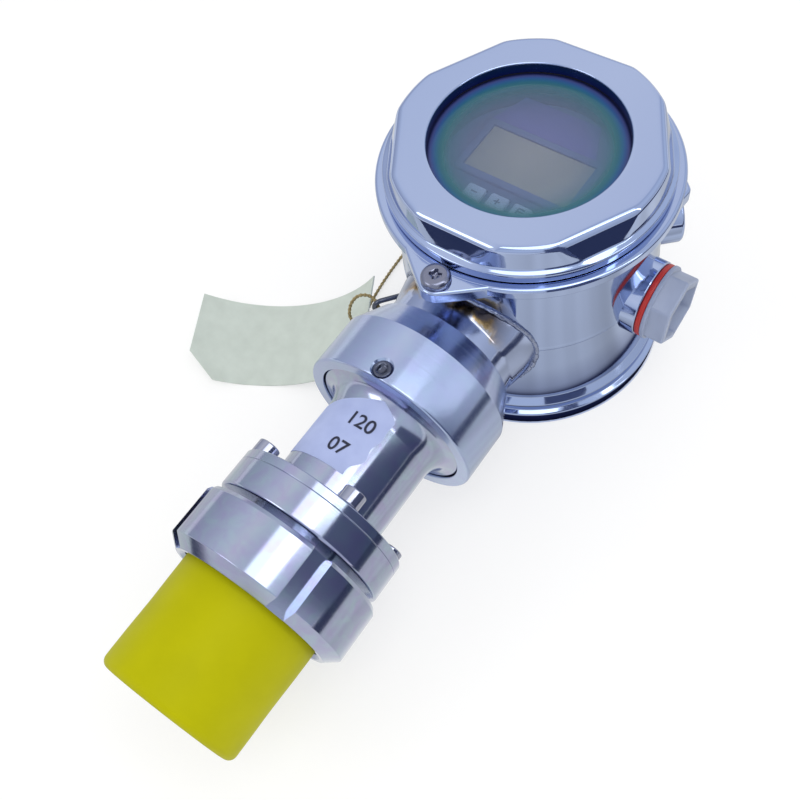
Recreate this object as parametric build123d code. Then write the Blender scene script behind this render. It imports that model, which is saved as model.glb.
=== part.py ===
"""Hygienic stainless-steel pressure transmitter, lying on the back of its round display housing.

Millimetres. The housing's axis is Z, with its flat back on Z = 0 and its window looking up.
The process neck leaves the housing along -Y, and the blanked cable entry faces +X.
"""

import math
import os

from build123d import *

os.makedirs("parts", exist_ok=True)

# Clearances
RUN_GAP = 0.3
BEARING_GAP = 0.08
SEAL_GAP = 0.04
THREAD_GAP = 0.3
KEY_GAP = 0.25

# Housing can, a drawn and welded shell
CAN_R = 43.7
CAN_WALL = 2.5
FLOOR_T = 5.0
BACK_RING_R = 47.7
BACK_RING_H = 6.6
BACK_STEP_R = 45.9
BACK_STEP_TOP = 10.2
WALL_START = 12.4
TOP_RING_R = 48.3
TOP_RING_T = 4.5
CAN_H = 82.5

# Screw lid with six grip facets
LID_SEAL_T = 0.5
LID_H = 12.0
LID_SKIRT_R = 45.5
LID_SKIRT_T = 3.2
CROWN_TOP_R = 43.0
CROWN_FOOT_R = 43.9
CROWN_ROUND = 2.0
FACETS = 6
FACET_R = 40.6
FACET_FOOT_R = 42.9
FACET_TURN = 1.0
WINDOW_R = 30.9
WINDOW_LIP_T = 3.8
LID_BORE_R = 35.0
SPIGOT_H = 8.0

# Window
GLASS_T = 6.0
GASKET_T = 0.8
CLAMP_RING_T = 3.6
CLAMP_RING_BORE_R = 31.4

# Lugs on the top ring
LUG_T = 5.2
LUG_R = 5.6
LUG_REACH = 50.6
LUG_ROOT_HALF = 18.5
LUG_SCREW_R = 2.5
LUG_HEAD_R = 4.6
LUG_HEAD_H = 2.5
LUG_SCREW_LEN = 9.0
REAR_LUG_R = 2.6
REAR_LUG_REACH = 47.1
REAR_LUG_ROOT_HALF = 9.0
REAR_LUG_ANGLE = 21.0
REAR_LUG_DROP = 2.6

# Vent on the rear right of the can
VENT_ANGLE = 42.0
VENT_Z = 48.0
VENT_R = 10.5
VENT_REACH = 50.5
VENT_FILTER_R = 6.0
VENT_FILTER_T = 2.4

# Cable entry with its blanking plug
ENTRY_Z = 44.7
ENTRY_BOSS_R = 12.9
ENTRY_FACE = 47.2
ENTRY_THREAD_R = 10.0
PLUG_SEAL_T = 2.0
PLUG_SEAL_R = 12.6
PLUG_FLANGE_T = 1.5
PLUG_FLANGE_R = 12.8
PLUG_HEX_AF = 21.6
PLUG_END = 57.2
PLUG_HEX_TURN = 17.7
PLUG_RECESS = 5.6
PLUG_RIM = 2.6
PLUG_THREAD_LEN = 8.0

# Neck stub of the housing and the swivel collar on it
NECK_Z = 42.6
STUB_R = 23.5
STUB_BORE_R = 19.5
STUB_INSET = 2.1
COLLAR_R = 30.5
COLLAR_REAR_R = 25.5
COLLAR_REAR = 54.0
COLLAR_CONE = 10.3
COLLAR_LAND = 19.1
COLLAR_RECESS_R = 26.1
COLLAR_RECESS = 6.4
COLLAR_BEARING_R = 21.0
COLLAR_BEARING_LEN = 8.0
COLLAR_CHAMFER = 0.8
SET_SCREW_R = 2.8
SET_SCREW_INSET = 3.5
SET_SCREW_HEX = 3.0
SET_SCREW_DEPTH = 1.2

# Process neck: flange in the collar, bell, tube and upper disc
NECK_FLANGE_R = 25.7
NECK_FLANGE_INSET = 0.8
BELL_R = 24.4
BELL_LEN = 8.0
TUBE_R = 18.8
TUBE_BORE_R = 16.0
TUBE_LEN = 27.4
SHANK_TAIL = 1.6
SNAP_RING_T = 1.5
SNAP_RING_R = 22.6
SNAP_GROOVE_R = 19.4
SHANK_SEAL_R = 1.3
DISC_R = 29.05
UPPER_DISC_T = 3.2
LOWER_DISC_T = 9.8
DISC_CHAMFER = 0.4

# Flange screws
BOLTS = 4
BOLT_TURN = 33.0
BOLT_CIRCLE_R = 24.9
BOLT_HEAD_R = 3.7
BOLT_HEAD_H = 5.0
BOLT_R = 2.0
BOLT_REACH = 8.0
BOLT_HEX = 3.0

# Process adapter, its diaphragm and the union nut
ADAPTER_SHANK_R = 17.5
LINER_R = 21.9
LINER_LAND = 6.3
LINER_CONE = 6.0
LINER_FACE_R = 19.2
DIAPHRAGM_R = 15.0
DIAPHRAGM_T = 0.5
DIAPHRAGM_SINK = 1.2
OIL_CHAMBER_R = 3.0
ADAPTER_BORE_R = 14.0
ADAPTER_WEB = 5.5
NUT_R = 31.3
NUT_REAR_GAP = 2.4
NUT_BAND = 17.2
NUT_NOSE = 3.3
NUT_PLAY = 1.0
NUT_END_R = 27.2
NUT_REAR_R = 30.4
NUT_SHOULDER_T = 4.8
NUT_THREAD_R = 24.9
NUT_SLOTS = 4
NUT_SLOT_TURN = 37.2
NUT_SLOT_W = 6.6
NUT_SLOT_FLOOR_R = 27.0

# Yellow transport cap
CAP_OVERLAP = 5.3
CAP_LEN = 44.8
CAP_WALL = 1.6
CAP_TAPER = 0.6
CAP_ROUND = 2.4

# Sensor module in the neck
MODULE_R = 15.6
MODULE_REAR_GAP = 4.4
MODULE_FRONT_GAP = 7.2
CELL_STEM_R = 9.0
CELL_HEAD_T = 8.0
CELL_SINK = 6.0

# Electronics and display in the can
INSERT_R = 38.6
INSERT_H = 52.0
DISPLAY_R = 29.4
DISPLAY_GAP = 7.7
DISPLAY_WALL = 2.0
BOARD_R = 26.6
BOARD_T = 1.6
BOARD_DROP = 7.0
BEZEL_W = 43.0
BEZEL_D = 23.6
BEZEL_H = 1.2
LCD_W = 37.4
LCD_D = 18.6
LCD_BORDER = 1.6
LCD_AT = (-0.6, 1.5)
LCD_SINK = 0.8
KEYS = 3
KEY_PITCH = 8.4
KEY_W = 6.4
KEY_D = 5.4
KEY_AT = (-1.5, -15.7)
KEY_PROUD = 0.9
KEY_STEM_GAP = 0.7
TERMINAL_W = 34.0
TERMINAL_D = 12.0
TERMINAL_H = 9.0
TERMINALS = 3
TERMINAL_PITCH = 9.0
TERMINAL_SCREW_R = 2.4

# Wire eye on the can, paper tag and its twine
EYE_ANGLE = -131.0
EYE_Z = 30.0
EYE_WIRE_R = 0.9
EYE_HALF_GAP = 2.1
EYE_REACH = 58.0
TAG_ANGLE = 28.65
TAG_BEND_R = 54.0
TAG_LOW = -101.0
TAG_FROM = -128.2
TAG_TO = -57.0
TAG_EDGE_NEAR = -37.2
TAG_EDGE_FAR = -0.9
TAG_T = 0.5
TAG_CORNER = 10.0
TAG_HOLE_R = 2.0
TAG_HOLE_AT = (-62.5, -19.0)
TWINE_R = 0.7
TWINE_POINTS = [
    (-34.82, -43.27, 30.0),
    (-39.58, -39.14, 30.0),
    (-45.6, -41.4, 30.6),
    (-47.9, -45.2, 26.8),
    (-47.56, -47.63, 19.89),
    (-42.57, -44.9, 14.56),
    (-49.6, -39.5, 6.2),
    (-55.4, -30.0, 0.75),
    (-58.0, -12.0, 0.75),
    (-58.5, 8.0, 0.75),
    (-52.0, 26.0, 0.75),
    (-41.0, 40.0, 0.75),
]

# Heights that follow from the sizes above
LID_SEAT = CAN_H + LID_SEAL_T
LID_TOP = LID_SEAT + LID_H
LIP_Z = LID_TOP - WINDOW_LIP_T
GLASS_TOP = LIP_Z - GASKET_T
GLASS_BASE = GLASS_TOP - GLASS_T
CAN_BORE_R = CAN_R - CAN_WALL
SPIGOT_R = CAN_BORE_R - THREAD_GAP
RING_BASE = CAN_H - TOP_RING_T
INSERT_TOP = FLOOR_T + INSERT_H
DISPLAY_TOP = GLASS_BASE - DISPLAY_GAP
BOARD_Z = DISPLAY_TOP - BOARD_DROP

# Distances along the neck that follow from the sizes above
COLLAR_EDGE = COLLAR_REAR + COLLAR_CONE
COLLAR_FRONT = COLLAR_EDGE + COLLAR_LAND
BEARING_FRONT = COLLAR_FRONT - COLLAR_RECESS
BEARING_REAR = BEARING_FRONT - COLLAR_BEARING_LEN
SNAP_FRONT = BEARING_REAR - RUN_GAP
SNAP_REAR = SNAP_FRONT - SNAP_RING_T
SHANK_END = SNAP_REAR - SHANK_TAIL
STUB_END = SHANK_END - STUB_INSET
FLANGE_FACE = COLLAR_FRONT - NECK_FLANGE_INSET
FLANGE_BACK = BEARING_FRONT + RUN_GAP
SEAL_AT = FLANGE_BACK - COLLAR_BEARING_LEN / 2
BELL_END = FLANGE_FACE + BELL_LEN
DISC_TOP = BELL_END + TUBE_LEN
DISC_SEAM = DISC_TOP + UPPER_DISC_T
DISC_END = DISC_SEAM + LOWER_DISC_T
NUT_REAR = DISC_END + NUT_REAR_GAP
NUT_CYL_END = NUT_REAR + NUT_BAND
NUT_END = NUT_CYL_END + NUT_NOSE
LINER_SHOULDER = NUT_REAR + NUT_SHOULDER_T + NUT_PLAY
LINER_CONE_START = LINER_SHOULDER + LINER_LAND
LINER_END = LINER_CONE_START + LINER_CONE
ADAPTER_BORE_END = LINER_END - ADAPTER_WEB
MODULE_START = SHANK_END + MODULE_REAR_GAP
MODULE_END = DISC_SEAM - MODULE_FRONT_GAP
CAP_MOUTH = LINER_END - CAP_OVERLAP
CAP_END = CAP_MOUTH + CAP_LEN
CAP_MOUTH_R = LINER_R + RUN_GAP + CAP_WALL
CAP_END_R = CAP_MOUTH_R - CAP_TAPER

NECK = Plane(origin=(0, 0, NECK_Z), x_dir=(1, 0, 0), z_dir=(0, -1, 0)).location


def outline(corners):
    """Closed face through (x, y, round) corners, each rounded by its own radius where one is given."""
    face = make_face(Polyline(*[(x, y) for x, y, _ in corners], close=True))
    for radius in sorted({corner[2] for corner in corners if corner[2]}):
        picked = [
            vertex
            for vertex in face.vertices()
            for x, y, own in corners
            if own == radius and abs(vertex.X - x) < 1e-5 and abs(vertex.Y - y) < 1e-5
        ]
        face = fillet(picked, radius)
    return face


def turned(corners):
    """Solid of revolution about Z from (radius, height, round) corners."""
    return revolve(Plane.XZ * outline(corners), Axis.Z)


def ring(outer, inner, low, high, edge=0):
    """Plain ring or bush about Z, with its outer edges rounded."""
    return turned([(inner, low, 0), (outer, low, edge), (outer, high, edge), (inner, high, 0)])


def disc(radius, low, high, edge=0):
    """Plain round bar about Z, with its end edges rounded."""
    return turned([(0, low, 0), (radius, low, edge), (radius, high, edge), (0, high, 0)])


def round_bar(radius, low, high):
    """Cylinder about Z between two heights."""
    return Pos(0, 0, low) * Cylinder(radius, high - low, align=(Align.CENTER, Align.CENTER, Align.MIN))


def block(width, depth, low, high):
    """Box centred on Z between two heights."""
    return Pos(0, 0, low) * Box(width, depth, high - low, align=(Align.CENTER, Align.CENTER, Align.MIN))


def hexagon(across_flats, low, high):
    """Hexagonal bar about Z between two heights."""
    corner_r = across_flats / math.sqrt(3)
    return Pos(0, 0, low) * extrude(RegularPolygon(corner_r, 6), high - low)


def outward(angle, height):
    """Location whose Z leaves the housing's axis at an angle in plan, at a height."""
    turn = math.radians(angle)
    direction = (math.cos(turn), math.sin(turn), 0)
    return Plane(origin=(0, 0, height), x_dir=(-math.sin(turn), math.cos(turn), 0), z_dir=direction).location


def lug_plate(reach, tip_r, root_half, low, high):
    """Flat lug on -Y: a round tip drawn in to the ring by its two tangents."""
    root_y = -math.sqrt(TOP_RING_R**2 - root_half**2) + 1
    tip = Pos(0, -reach) * Circle(tip_r)
    root = Line((-root_half, root_y), (root_half, root_y))
    return Pos(0, 0, low) * extrude(make_hull([*tip.edges(), root]), high - low)


def housing_shell():
    """The welded can: back, wall, top ring, lugs, neck stub, cable boss and vent boss."""
    shell = turned(
        [
            (0, 0, 0),
            (BACK_RING_R - 0.6, 0, 0),
            (BACK_RING_R, 0.9, 0),
            (BACK_RING_R, BACK_RING_H, 0.8),
            (BACK_STEP_R, BACK_RING_H + 0.9, 0.4),
            (BACK_STEP_R, BACK_STEP_TOP, 0.8),
            (CAN_R, WALL_START, 0.6),
            (CAN_R, RING_BASE - 0.8, 0.5),
            (TOP_RING_R - 1.2, RING_BASE, 0.5),
            (TOP_RING_R, RING_BASE + 0.8, 0.8),
            (TOP_RING_R, CAN_H, 1.2),
            (0, CAN_H, 0),
        ]
    )
    shell += lug_plate(LUG_REACH, LUG_R, LUG_ROOT_HALF, CAN_H - LUG_T, CAN_H)
    rear_top = CAN_H - REAR_LUG_DROP
    rear = lug_plate(REAR_LUG_REACH, REAR_LUG_R, REAR_LUG_ROOT_HALF, rear_top - LUG_T, rear_top)
    shell += Rot(0, 0, REAR_LUG_ANGLE + 90) * rear
    stub = NECK * round_bar(STUB_R, 0, STUB_END)
    shell += stub
    shell += outward(0, ENTRY_Z) * round_bar(ENTRY_BOSS_R, 0, ENTRY_FACE)
    shell += outward(VENT_ANGLE, VENT_Z) * disc(VENT_R, 0, VENT_REACH, 0.6)
    shell -= round_bar(CAN_BORE_R, FLOOR_T, CAN_H + 1)
    shell -= NECK * round_bar(STUB_BORE_R, 0, STUB_END + 1)
    shell -= outward(0, ENTRY_Z) * round_bar(ENTRY_THREAD_R, 0, ENTRY_FACE + 1)
    shell -= outward(VENT_ANGLE, VENT_Z) * round_bar(VENT_FILTER_R, VENT_REACH - VENT_FILTER_T, VENT_REACH + 1)
    shell -= Pos(0, -LUG_REACH) * round_bar(LUG_SCREW_R, CAN_H - LUG_T - 1, CAN_H + 1)
    return shell


def lid_shell():
    """Screw lid: round skirt, six-lobed crown, window lip and threaded spigot."""
    skirt_top = LID_SEAT + LID_SKIRT_T
    lid = turned(
        [
            (WINDOW_R, LID_TOP, 0.4),
            (CROWN_TOP_R, LID_TOP, 0),
            (CROWN_FOOT_R, skirt_top + 0.9, 0.8),
            (LID_SKIRT_R, skirt_top, 0.6),
            (LID_SKIRT_R, LID_SEAT, 0.4),
            (SPIGOT_R, LID_SEAT, 0),
            (SPIGOT_R, LID_SEAT - SPIGOT_H, 0.8),
            (LID_BORE_R, LID_SEAT - SPIGOT_H, 0),
            (LID_BORE_R, LIP_Z, 0),
            (WINDOW_R, LIP_Z, 0),
        ]
    )
    lean = math.degrees(math.atan2(FACET_FOOT_R - FACET_R, LID_H - LID_SKIRT_T - 1.2))
    cutter = Rot(0, -lean, 0) * Pos(CROWN_TOP_R, 0) * block(2 * CROWN_TOP_R, 2 * CROWN_TOP_R, -LID_H, LID_H)
    for number in range(FACETS):
        turn = FACET_TURN + 30 + number * 360 / FACETS
        lid -= Rot(0, 0, turn) * Pos(FACET_R, 0, LID_TOP) * cutter
    rim = [
        edge
        for edge in lid.edges()
        if edge.center().Z > LID_TOP - 0.01 and math.hypot(edge.center().X, edge.center().Y) > FACET_R - 2
    ]
    return fillet(rim, CROWN_ROUND)


def cross_recess(reach, depth, width):
    """Tapered cross recess, cut down from Z = 0."""
    arm = Pos(0, 0, -depth) * extrude(Rectangle(2 * reach * 0.45, width * 0.6), depth, taper=-20)
    arm = arm & block(2 * reach, width, -depth, 0.01)
    return arm + Rot(0, 0, 90) * arm


def lug_screw():
    """Pan head screw with a cross recess in the front lug."""
    head = turned(
        [
            (0, 0, 0),
            (LUG_HEAD_R, 0, 0),
            (LUG_HEAD_R, LUG_HEAD_H, 1.5),
            (0, LUG_HEAD_H, 0),
        ]
    )
    head -= Rot(0, 0, 20) * Pos(0, 0, LUG_HEAD_H) * cross_recess(LUG_HEAD_R * 0.72, 1.5, 1.3)
    head += round_bar(LUG_SCREW_R - 0.05, -LUG_SCREW_LEN, 0)
    return Pos(0, -LUG_REACH, CAN_H) * head


def cable_plug():
    """Hexagonal blanking plug, hollow at its outer end, along Z from the gasket face."""
    seat = ENTRY_FACE + PLUG_SEAL_T
    flange_top = seat + PLUG_FLANGE_T
    plug = disc(PLUG_FLANGE_R, seat, flange_top, 0.4)
    crown = hexagon(PLUG_HEX_AF, flange_top, PLUG_END)
    crown = fillet(crown.edges().filter_by(Axis.Z), 1.4)
    crown = fillet(crown.faces().sort_by(Axis.Z)[-1].edges(), 0.7)
    hollow = hexagon(PLUG_HEX_AF - 2 * PLUG_RIM, PLUG_END - PLUG_RECESS, PLUG_END + 1)
    hollow = fillet(hollow.edges().filter_by(Axis.Z), 0.8)
    plug += Rot(0, 0, PLUG_HEX_TURN) * (crown - hollow)
    thread_r = ENTRY_THREAD_R - THREAD_GAP
    plug += disc(thread_r, ENTRY_FACE - PLUG_THREAD_LEN, seat + 0.5, 0)
    return plug


def plug_gasket():
    """Flat red gasket round the plug's thread."""
    edge = PLUG_SEAL_T * 0.3
    return ring(PLUG_SEAL_R, ENTRY_THREAD_R + RUN_GAP, ENTRY_FACE, ENTRY_FACE + PLUG_SEAL_T, edge)


def collar_ring():
    """Swivel collar: seated on the stub, with the bearing of the neck inside it."""
    collar = turned(
        [
            (STUB_R, COLLAR_REAR, 0),
            (COLLAR_REAR_R, COLLAR_REAR, 0.5),
            (COLLAR_R, COLLAR_EDGE, 0.5),
            (COLLAR_R, COLLAR_FRONT, COLLAR_CHAMFER),
            (COLLAR_RECESS_R, COLLAR_FRONT, 0.3),
            (COLLAR_RECESS_R, BEARING_FRONT, 0),
            (COLLAR_BEARING_R, BEARING_FRONT, 0),
            (COLLAR_BEARING_R, BEARING_REAR, 0),
            (STUB_R, BEARING_REAR, 0),
        ]
    )
    return collar - Pos(0, 0, COLLAR_FRONT - SET_SCREW_INSET) * set_screw_hole()


def set_screw_hole():
    """Radial hole of the set screw, on the collar's upper side."""
    return Rot(-90, 0, 0) * round_bar(SET_SCREW_R, COLLAR_RECESS_R - 1, COLLAR_R + 1)


def collar_set_screw():
    """Set screw with a hexagon socket, its tip on the neck's flange."""
    screw = disc(SET_SCREW_R, NECK_FLANGE_R + RUN_GAP, COLLAR_R - 0.35, 0.4)
    screw -= hexagon(SET_SCREW_HEX, COLLAR_R - 0.35 - SET_SCREW_DEPTH, COLLAR_R + 1)
    return Pos(0, 0, COLLAR_FRONT - SET_SCREW_INSET) * Rot(-90, 0, 0) * screw


def neck_body():
    """Swivel shank, flange, bell, tube and upper disc, turned from one bar."""
    shank_r = COLLAR_BEARING_R - BEARING_GAP
    groove_r = COLLAR_BEARING_R - 2 * SHANK_SEAL_R
    profile = Polyline(
        (TUBE_BORE_R, SHANK_END),
        (shank_r, SHANK_END),
        (shank_r, SNAP_REAR),
        (SNAP_GROOVE_R, SNAP_REAR),
        (SNAP_GROOVE_R, SNAP_FRONT),
        (shank_r, SNAP_FRONT),
        (shank_r, SEAL_AT - SHANK_SEAL_R),
        (groove_r, SEAL_AT - SHANK_SEAL_R),
        (groove_r, SEAL_AT + SHANK_SEAL_R),
        (shank_r, SEAL_AT + SHANK_SEAL_R),
        (shank_r, FLANGE_BACK),
        (NECK_FLANGE_R, FLANGE_BACK),
        (NECK_FLANGE_R, FLANGE_FACE),
        (BELL_R, FLANGE_FACE),
    )
    bell = EllipticalCenterArc((BELL_R, BELL_END), BELL_R - TUBE_R, BELL_LEN, 180, arc_size=90)
    lower = Polyline(
        (TUBE_R, BELL_END),
        (TUBE_R, DISC_TOP),
        (DISC_R - DISC_CHAMFER, DISC_TOP),
        (DISC_R, DISC_TOP + DISC_CHAMFER),
        (DISC_R, DISC_SEAM),
        (TUBE_BORE_R, DISC_SEAM),
        (TUBE_BORE_R, SHANK_END),
    )
    body = revolve(Plane.XZ * make_face([*profile.edges(), bell, *lower.edges()]), Axis.Z)
    return body - bolt_pattern(round_bar(BOLT_R + 0.05, DISC_TOP - 1, DISC_SEAM + 1))


def shank_seal():
    """Sealing ring in the shank's groove."""
    floor_r = COLLAR_BEARING_R - 2 * SHANK_SEAL_R
    low = SEAL_AT - SHANK_SEAL_R + 0.1
    high = SEAL_AT + SHANK_SEAL_R - 0.1
    return ring(COLLAR_BEARING_R - SEAL_GAP, floor_r, low, high, 0.6)


def bolt_pattern(item):
    """Copies of an item on the flange's bolt circle."""
    copies = Part()
    for number in range(BOLTS):
        copies += Rot(0, 0, -BOLT_TURN - number * 360 / BOLTS) * Pos(0, BOLT_CIRCLE_R) * item
    return copies


def flange_bolts():
    """Socket screws that hold the two discs together."""
    head_top = DISC_TOP - BOLT_HEAD_H
    bolt = disc(BOLT_HEAD_R, head_top, DISC_TOP, 0.5)
    bolt -= hexagon(BOLT_HEX, head_top - 1, head_top + BOLT_HEAD_H / 2)
    bolt += round_bar(BOLT_R, DISC_TOP - 0.1, DISC_TOP + BOLT_REACH)
    return bolt_pattern(bolt)


def process_adapter():
    """Lower disc with the conical liner that the union nut holds."""
    adapter = turned(
        [
            (ADAPTER_BORE_R, DISC_SEAM, 0),
            (DISC_R, DISC_SEAM, DISC_CHAMFER),
            (DISC_R, DISC_END, 0.9),
            (ADAPTER_SHANK_R, DISC_END, 0),
            (ADAPTER_SHANK_R, LINER_SHOULDER, 0),
            (LINER_R, LINER_SHOULDER, 0.4),
            (LINER_R, LINER_CONE_START, 0),
            (LINER_FACE_R, LINER_END, 0.4),
            (DIAPHRAGM_R, LINER_END, 0),
            (DIAPHRAGM_R, LINER_END - DIAPHRAGM_SINK, 0),
            (OIL_CHAMBER_R, LINER_END - DIAPHRAGM_SINK, 0),
            (OIL_CHAMBER_R, ADAPTER_BORE_END, 0),
            (ADAPTER_BORE_R, ADAPTER_BORE_END, 0),
        ]
    )
    seal_groove = ring(TUBE_BORE_R + 3, TUBE_BORE_R + 1, DISC_SEAM - 1, DISC_SEAM + 1.6)
    holes = bolt_pattern(round_bar(BOLT_R + 0.05, DISC_SEAM - 1, DISC_TOP + BOLT_REACH + 0.3))
    return adapter - seal_groove - holes


def diaphragm():
    """Flush steel diaphragm with two rolled waves, in the liner's face."""
    low = LINER_END - DIAPHRAGM_SINK
    sheet = disc(DIAPHRAGM_R - 0.05, low, low + DIAPHRAGM_T)
    for wave_r in (DIAPHRAGM_R * 0.45, DIAPHRAGM_R * 0.72):
        sheet += ring(wave_r + 0.8, wave_r - 0.8, low + DIAPHRAGM_T, low + DIAPHRAGM_T + 0.35)
    return sheet


def union_nut():
    """Round dairy nut with four spanner slots, loose on the adapter's shank."""
    shoulder = NUT_REAR + NUT_SHOULDER_T
    nut = turned(
        [
            (ADAPTER_SHANK_R + RUN_GAP, NUT_REAR, 0),
            (NUT_REAR_R, NUT_REAR, 0.3),
            (NUT_R, NUT_REAR + 1.4, 0.4),
            (NUT_R, NUT_CYL_END, 0.4),
            (NUT_END_R, NUT_END, 0.3),
            (NUT_THREAD_R + 0.9, NUT_END, 0),
            (NUT_THREAD_R, NUT_END - 1.2, 0),
            (NUT_THREAD_R, shoulder, 0),
            (ADAPTER_SHANK_R + RUN_GAP, shoulder, 0),
        ]
    )
    slot_depth = NUT_R - NUT_SLOT_FLOOR_R + 1
    slot = block(NUT_SLOT_W, slot_depth, NUT_REAR - 1, NUT_END + 1)
    for number in range(NUT_SLOTS):
        place = Rot(0, 0, -NUT_SLOT_TURN - number * 360 / NUT_SLOTS)
        nut -= place * Pos(0, NUT_SLOT_FLOOR_R + slot_depth / 2) * slot
    return nut


def protective_cap():
    """Soft yellow cap pushed over the liner, inside the nut's mouth."""
    return turned(
        [
            (0, CAP_END, 0),
            (CAP_END_R, CAP_END, CAP_ROUND),
            (CAP_MOUTH_R, CAP_MOUTH, 0.4),
            (CAP_MOUTH_R - CAP_WALL, CAP_MOUTH, 0.4),
            (CAP_END_R - CAP_WALL, CAP_END - CAP_WALL, CAP_ROUND - CAP_WALL / 2),
            (0, CAP_END - CAP_WALL, 0),
        ]
    )


def sensor_module():
    """Potted sensor module that fills the neck's bore, stepped down to the measuring cell."""
    return turned(
        [
            (0, MODULE_START, 0),
            (MODULE_R, MODULE_START, 0.8),
            (MODULE_R, MODULE_END, 0),
            (CELL_STEM_R + RUN_GAP, MODULE_END, 0),
            (CELL_STEM_R + RUN_GAP, MODULE_END - CELL_SINK, 0),
            (0, MODULE_END - CELL_SINK, 0),
        ]
    )


def measuring_cell():
    """Ceramic measuring cell on the floor of the adapter's bore, with its stem in the module."""
    head = ADAPTER_BORE_END - CELL_HEAD_T
    return turned(
        [
            (0, MODULE_END - CELL_SINK, 0),
            (CELL_STEM_R, MODULE_END - CELL_SINK, 0.5),
            (CELL_STEM_R, head, 0),
            (ADAPTER_BORE_R - RUN_GAP / 2, head, 0.5),
            (ADAPTER_BORE_R - RUN_GAP / 2, ADAPTER_BORE_END, 0),
            (0, ADAPTER_BORE_END, 0),
        ]
    )


def display_frame():
    """Moulded display carrier: round plate, raised bezel, skirt and three key openings."""
    plate_low = DISPLAY_TOP - DISPLAY_WALL
    frame = turned(
        [
            (0, plate_low, 0),
            (DISPLAY_R - DISPLAY_WALL, plate_low, 0),
            (DISPLAY_R - DISPLAY_WALL, INSERT_TOP, 0),
            (DISPLAY_R, INSERT_TOP, 0),
            (DISPLAY_R, DISPLAY_TOP, 1.0),
            (0, DISPLAY_TOP, 0),
        ]
    )
    bezel = extrude(RectangleRounded(BEZEL_W, BEZEL_D, 2.0), BEZEL_H)
    bezel = fillet(bezel.faces().sort_by(Axis.Z)[-1].edges(), 0.5)
    frame += Pos(*LCD_AT, DISPLAY_TOP) * bezel
    frame -= Pos(*LCD_AT) * block(LCD_W, LCD_D, plate_low - 1, DISPLAY_TOP + BEZEL_H + 1)
    pocket_top = DISPLAY_TOP + BEZEL_H - LCD_SINK
    frame -= Pos(*LCD_AT) * block(LCD_W + 2 * LCD_BORDER, LCD_D + 2 * LCD_BORDER, plate_low - 1, pocket_top)
    for x, y in key_places():
        hole = Pos(x, y) * block(KEY_W + 2 * KEY_GAP, KEY_D + 2 * KEY_GAP, plate_low - 1, DISPLAY_TOP + 1)
        frame -= hole
    return frame


def key_places():
    """Centres of the keys, from left to right."""
    x, y = KEY_AT
    return [(x + (number - (KEYS - 1) / 2) * KEY_PITCH, y) for number in range(KEYS)]


def lcd_panel():
    """Display cell with its backlight, between the board and the bezel."""
    top = DISPLAY_TOP + BEZEL_H - LCD_SINK
    return Pos(*LCD_AT) * block(
        LCD_W + 2 * LCD_BORDER - 0.1, LCD_D + 2 * LCD_BORDER - 0.1, BOARD_Z + BOARD_T, top
    )


def display_board():
    """Round circuit board with its four spacers down to the electronics."""
    board = disc(BOARD_R, BOARD_Z, BOARD_Z + BOARD_T)
    for number in range(4):
        board += Rot(0, 0, 45 + 90 * number) * Pos(BOARD_R - 4, 0) * round_bar(2.5, INSERT_TOP, BOARD_Z)
    return board


def key_cap():
    """Key with a proud rounded top and a short stem."""
    low = BOARD_Z + BOARD_T + KEY_STEM_GAP
    high = DISPLAY_TOP + KEY_PROUD
    cap = block(KEY_W, KEY_D, low, high)
    cap = fillet(cap.edges().filter_by(Axis.Z), 0.8)
    return fillet(cap.faces().sort_by(Axis.Z)[-1].edges(), 0.4)


def electronics_insert():
    """Potted electronics that fill the can under the display."""
    return disc(INSERT_R, FLOOR_T, INSERT_TOP, 1.0)


def terminal_block():
    """Terminal strip on the electronics, under the display."""
    strip = block(TERMINAL_W, TERMINAL_D, INSERT_TOP, INSERT_TOP + TERMINAL_H)
    strip = chamfer(strip.faces().sort_by(Axis.Z)[-1].edges(), 0.6)
    for x in terminal_places():
        strip -= Pos(x, 0) * round_bar(TERMINAL_SCREW_R + 0.2, INSERT_TOP + 3, INSERT_TOP + TERMINAL_H + 1)
    return strip


def terminal_places():
    """Positions of the terminal screws along the strip."""
    return [(number - (TERMINALS - 1) / 2) * TERMINAL_PITCH for number in range(TERMINALS)]


def terminal_screws():
    """Slotted clamping screws in the terminal strip."""
    screws = Part()
    top = INSERT_TOP + TERMINAL_H - 1.5
    for x in terminal_places():
        screw = disc(TERMINAL_SCREW_R, INSERT_TOP + 3, top, 0.3) - block(6, 0.8, top - 1, top + 1)
        screws += Pos(x, 0) * screw
    return screws


def tag_eye():
    """Bent wire eye welded to the can, for the tag's twine."""
    gap = EYE_HALF_GAP + EYE_WIRE_R
    root = CAN_R - 0.6
    bend_at = EYE_REACH - EYE_WIRE_R - gap
    path = Polyline((0, gap, root), (0, gap, bend_at)) + ThreePointArc(
        (0, gap, bend_at), (0, 0, bend_at + gap), (0, -gap, bend_at)
    ) + Polyline((0, -gap, bend_at), (0, -gap, root))
    wire = sweep(Plane(origin=(0, gap, root), z_dir=(0, 0, 1)) * Circle(EYE_WIRE_R), path=path)
    placed = outward(EYE_ANGLE, EYE_Z) * wire
    return placed - round_bar(CAN_R, 0, CAN_H)


def tag_location():
    """Frame of the tag: X along it, Y across it, Z up, at the line where it touches the table."""
    return Rot(0, 0, TAG_ANGLE) * Pos(TAG_LOW, 0, 0)


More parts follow.
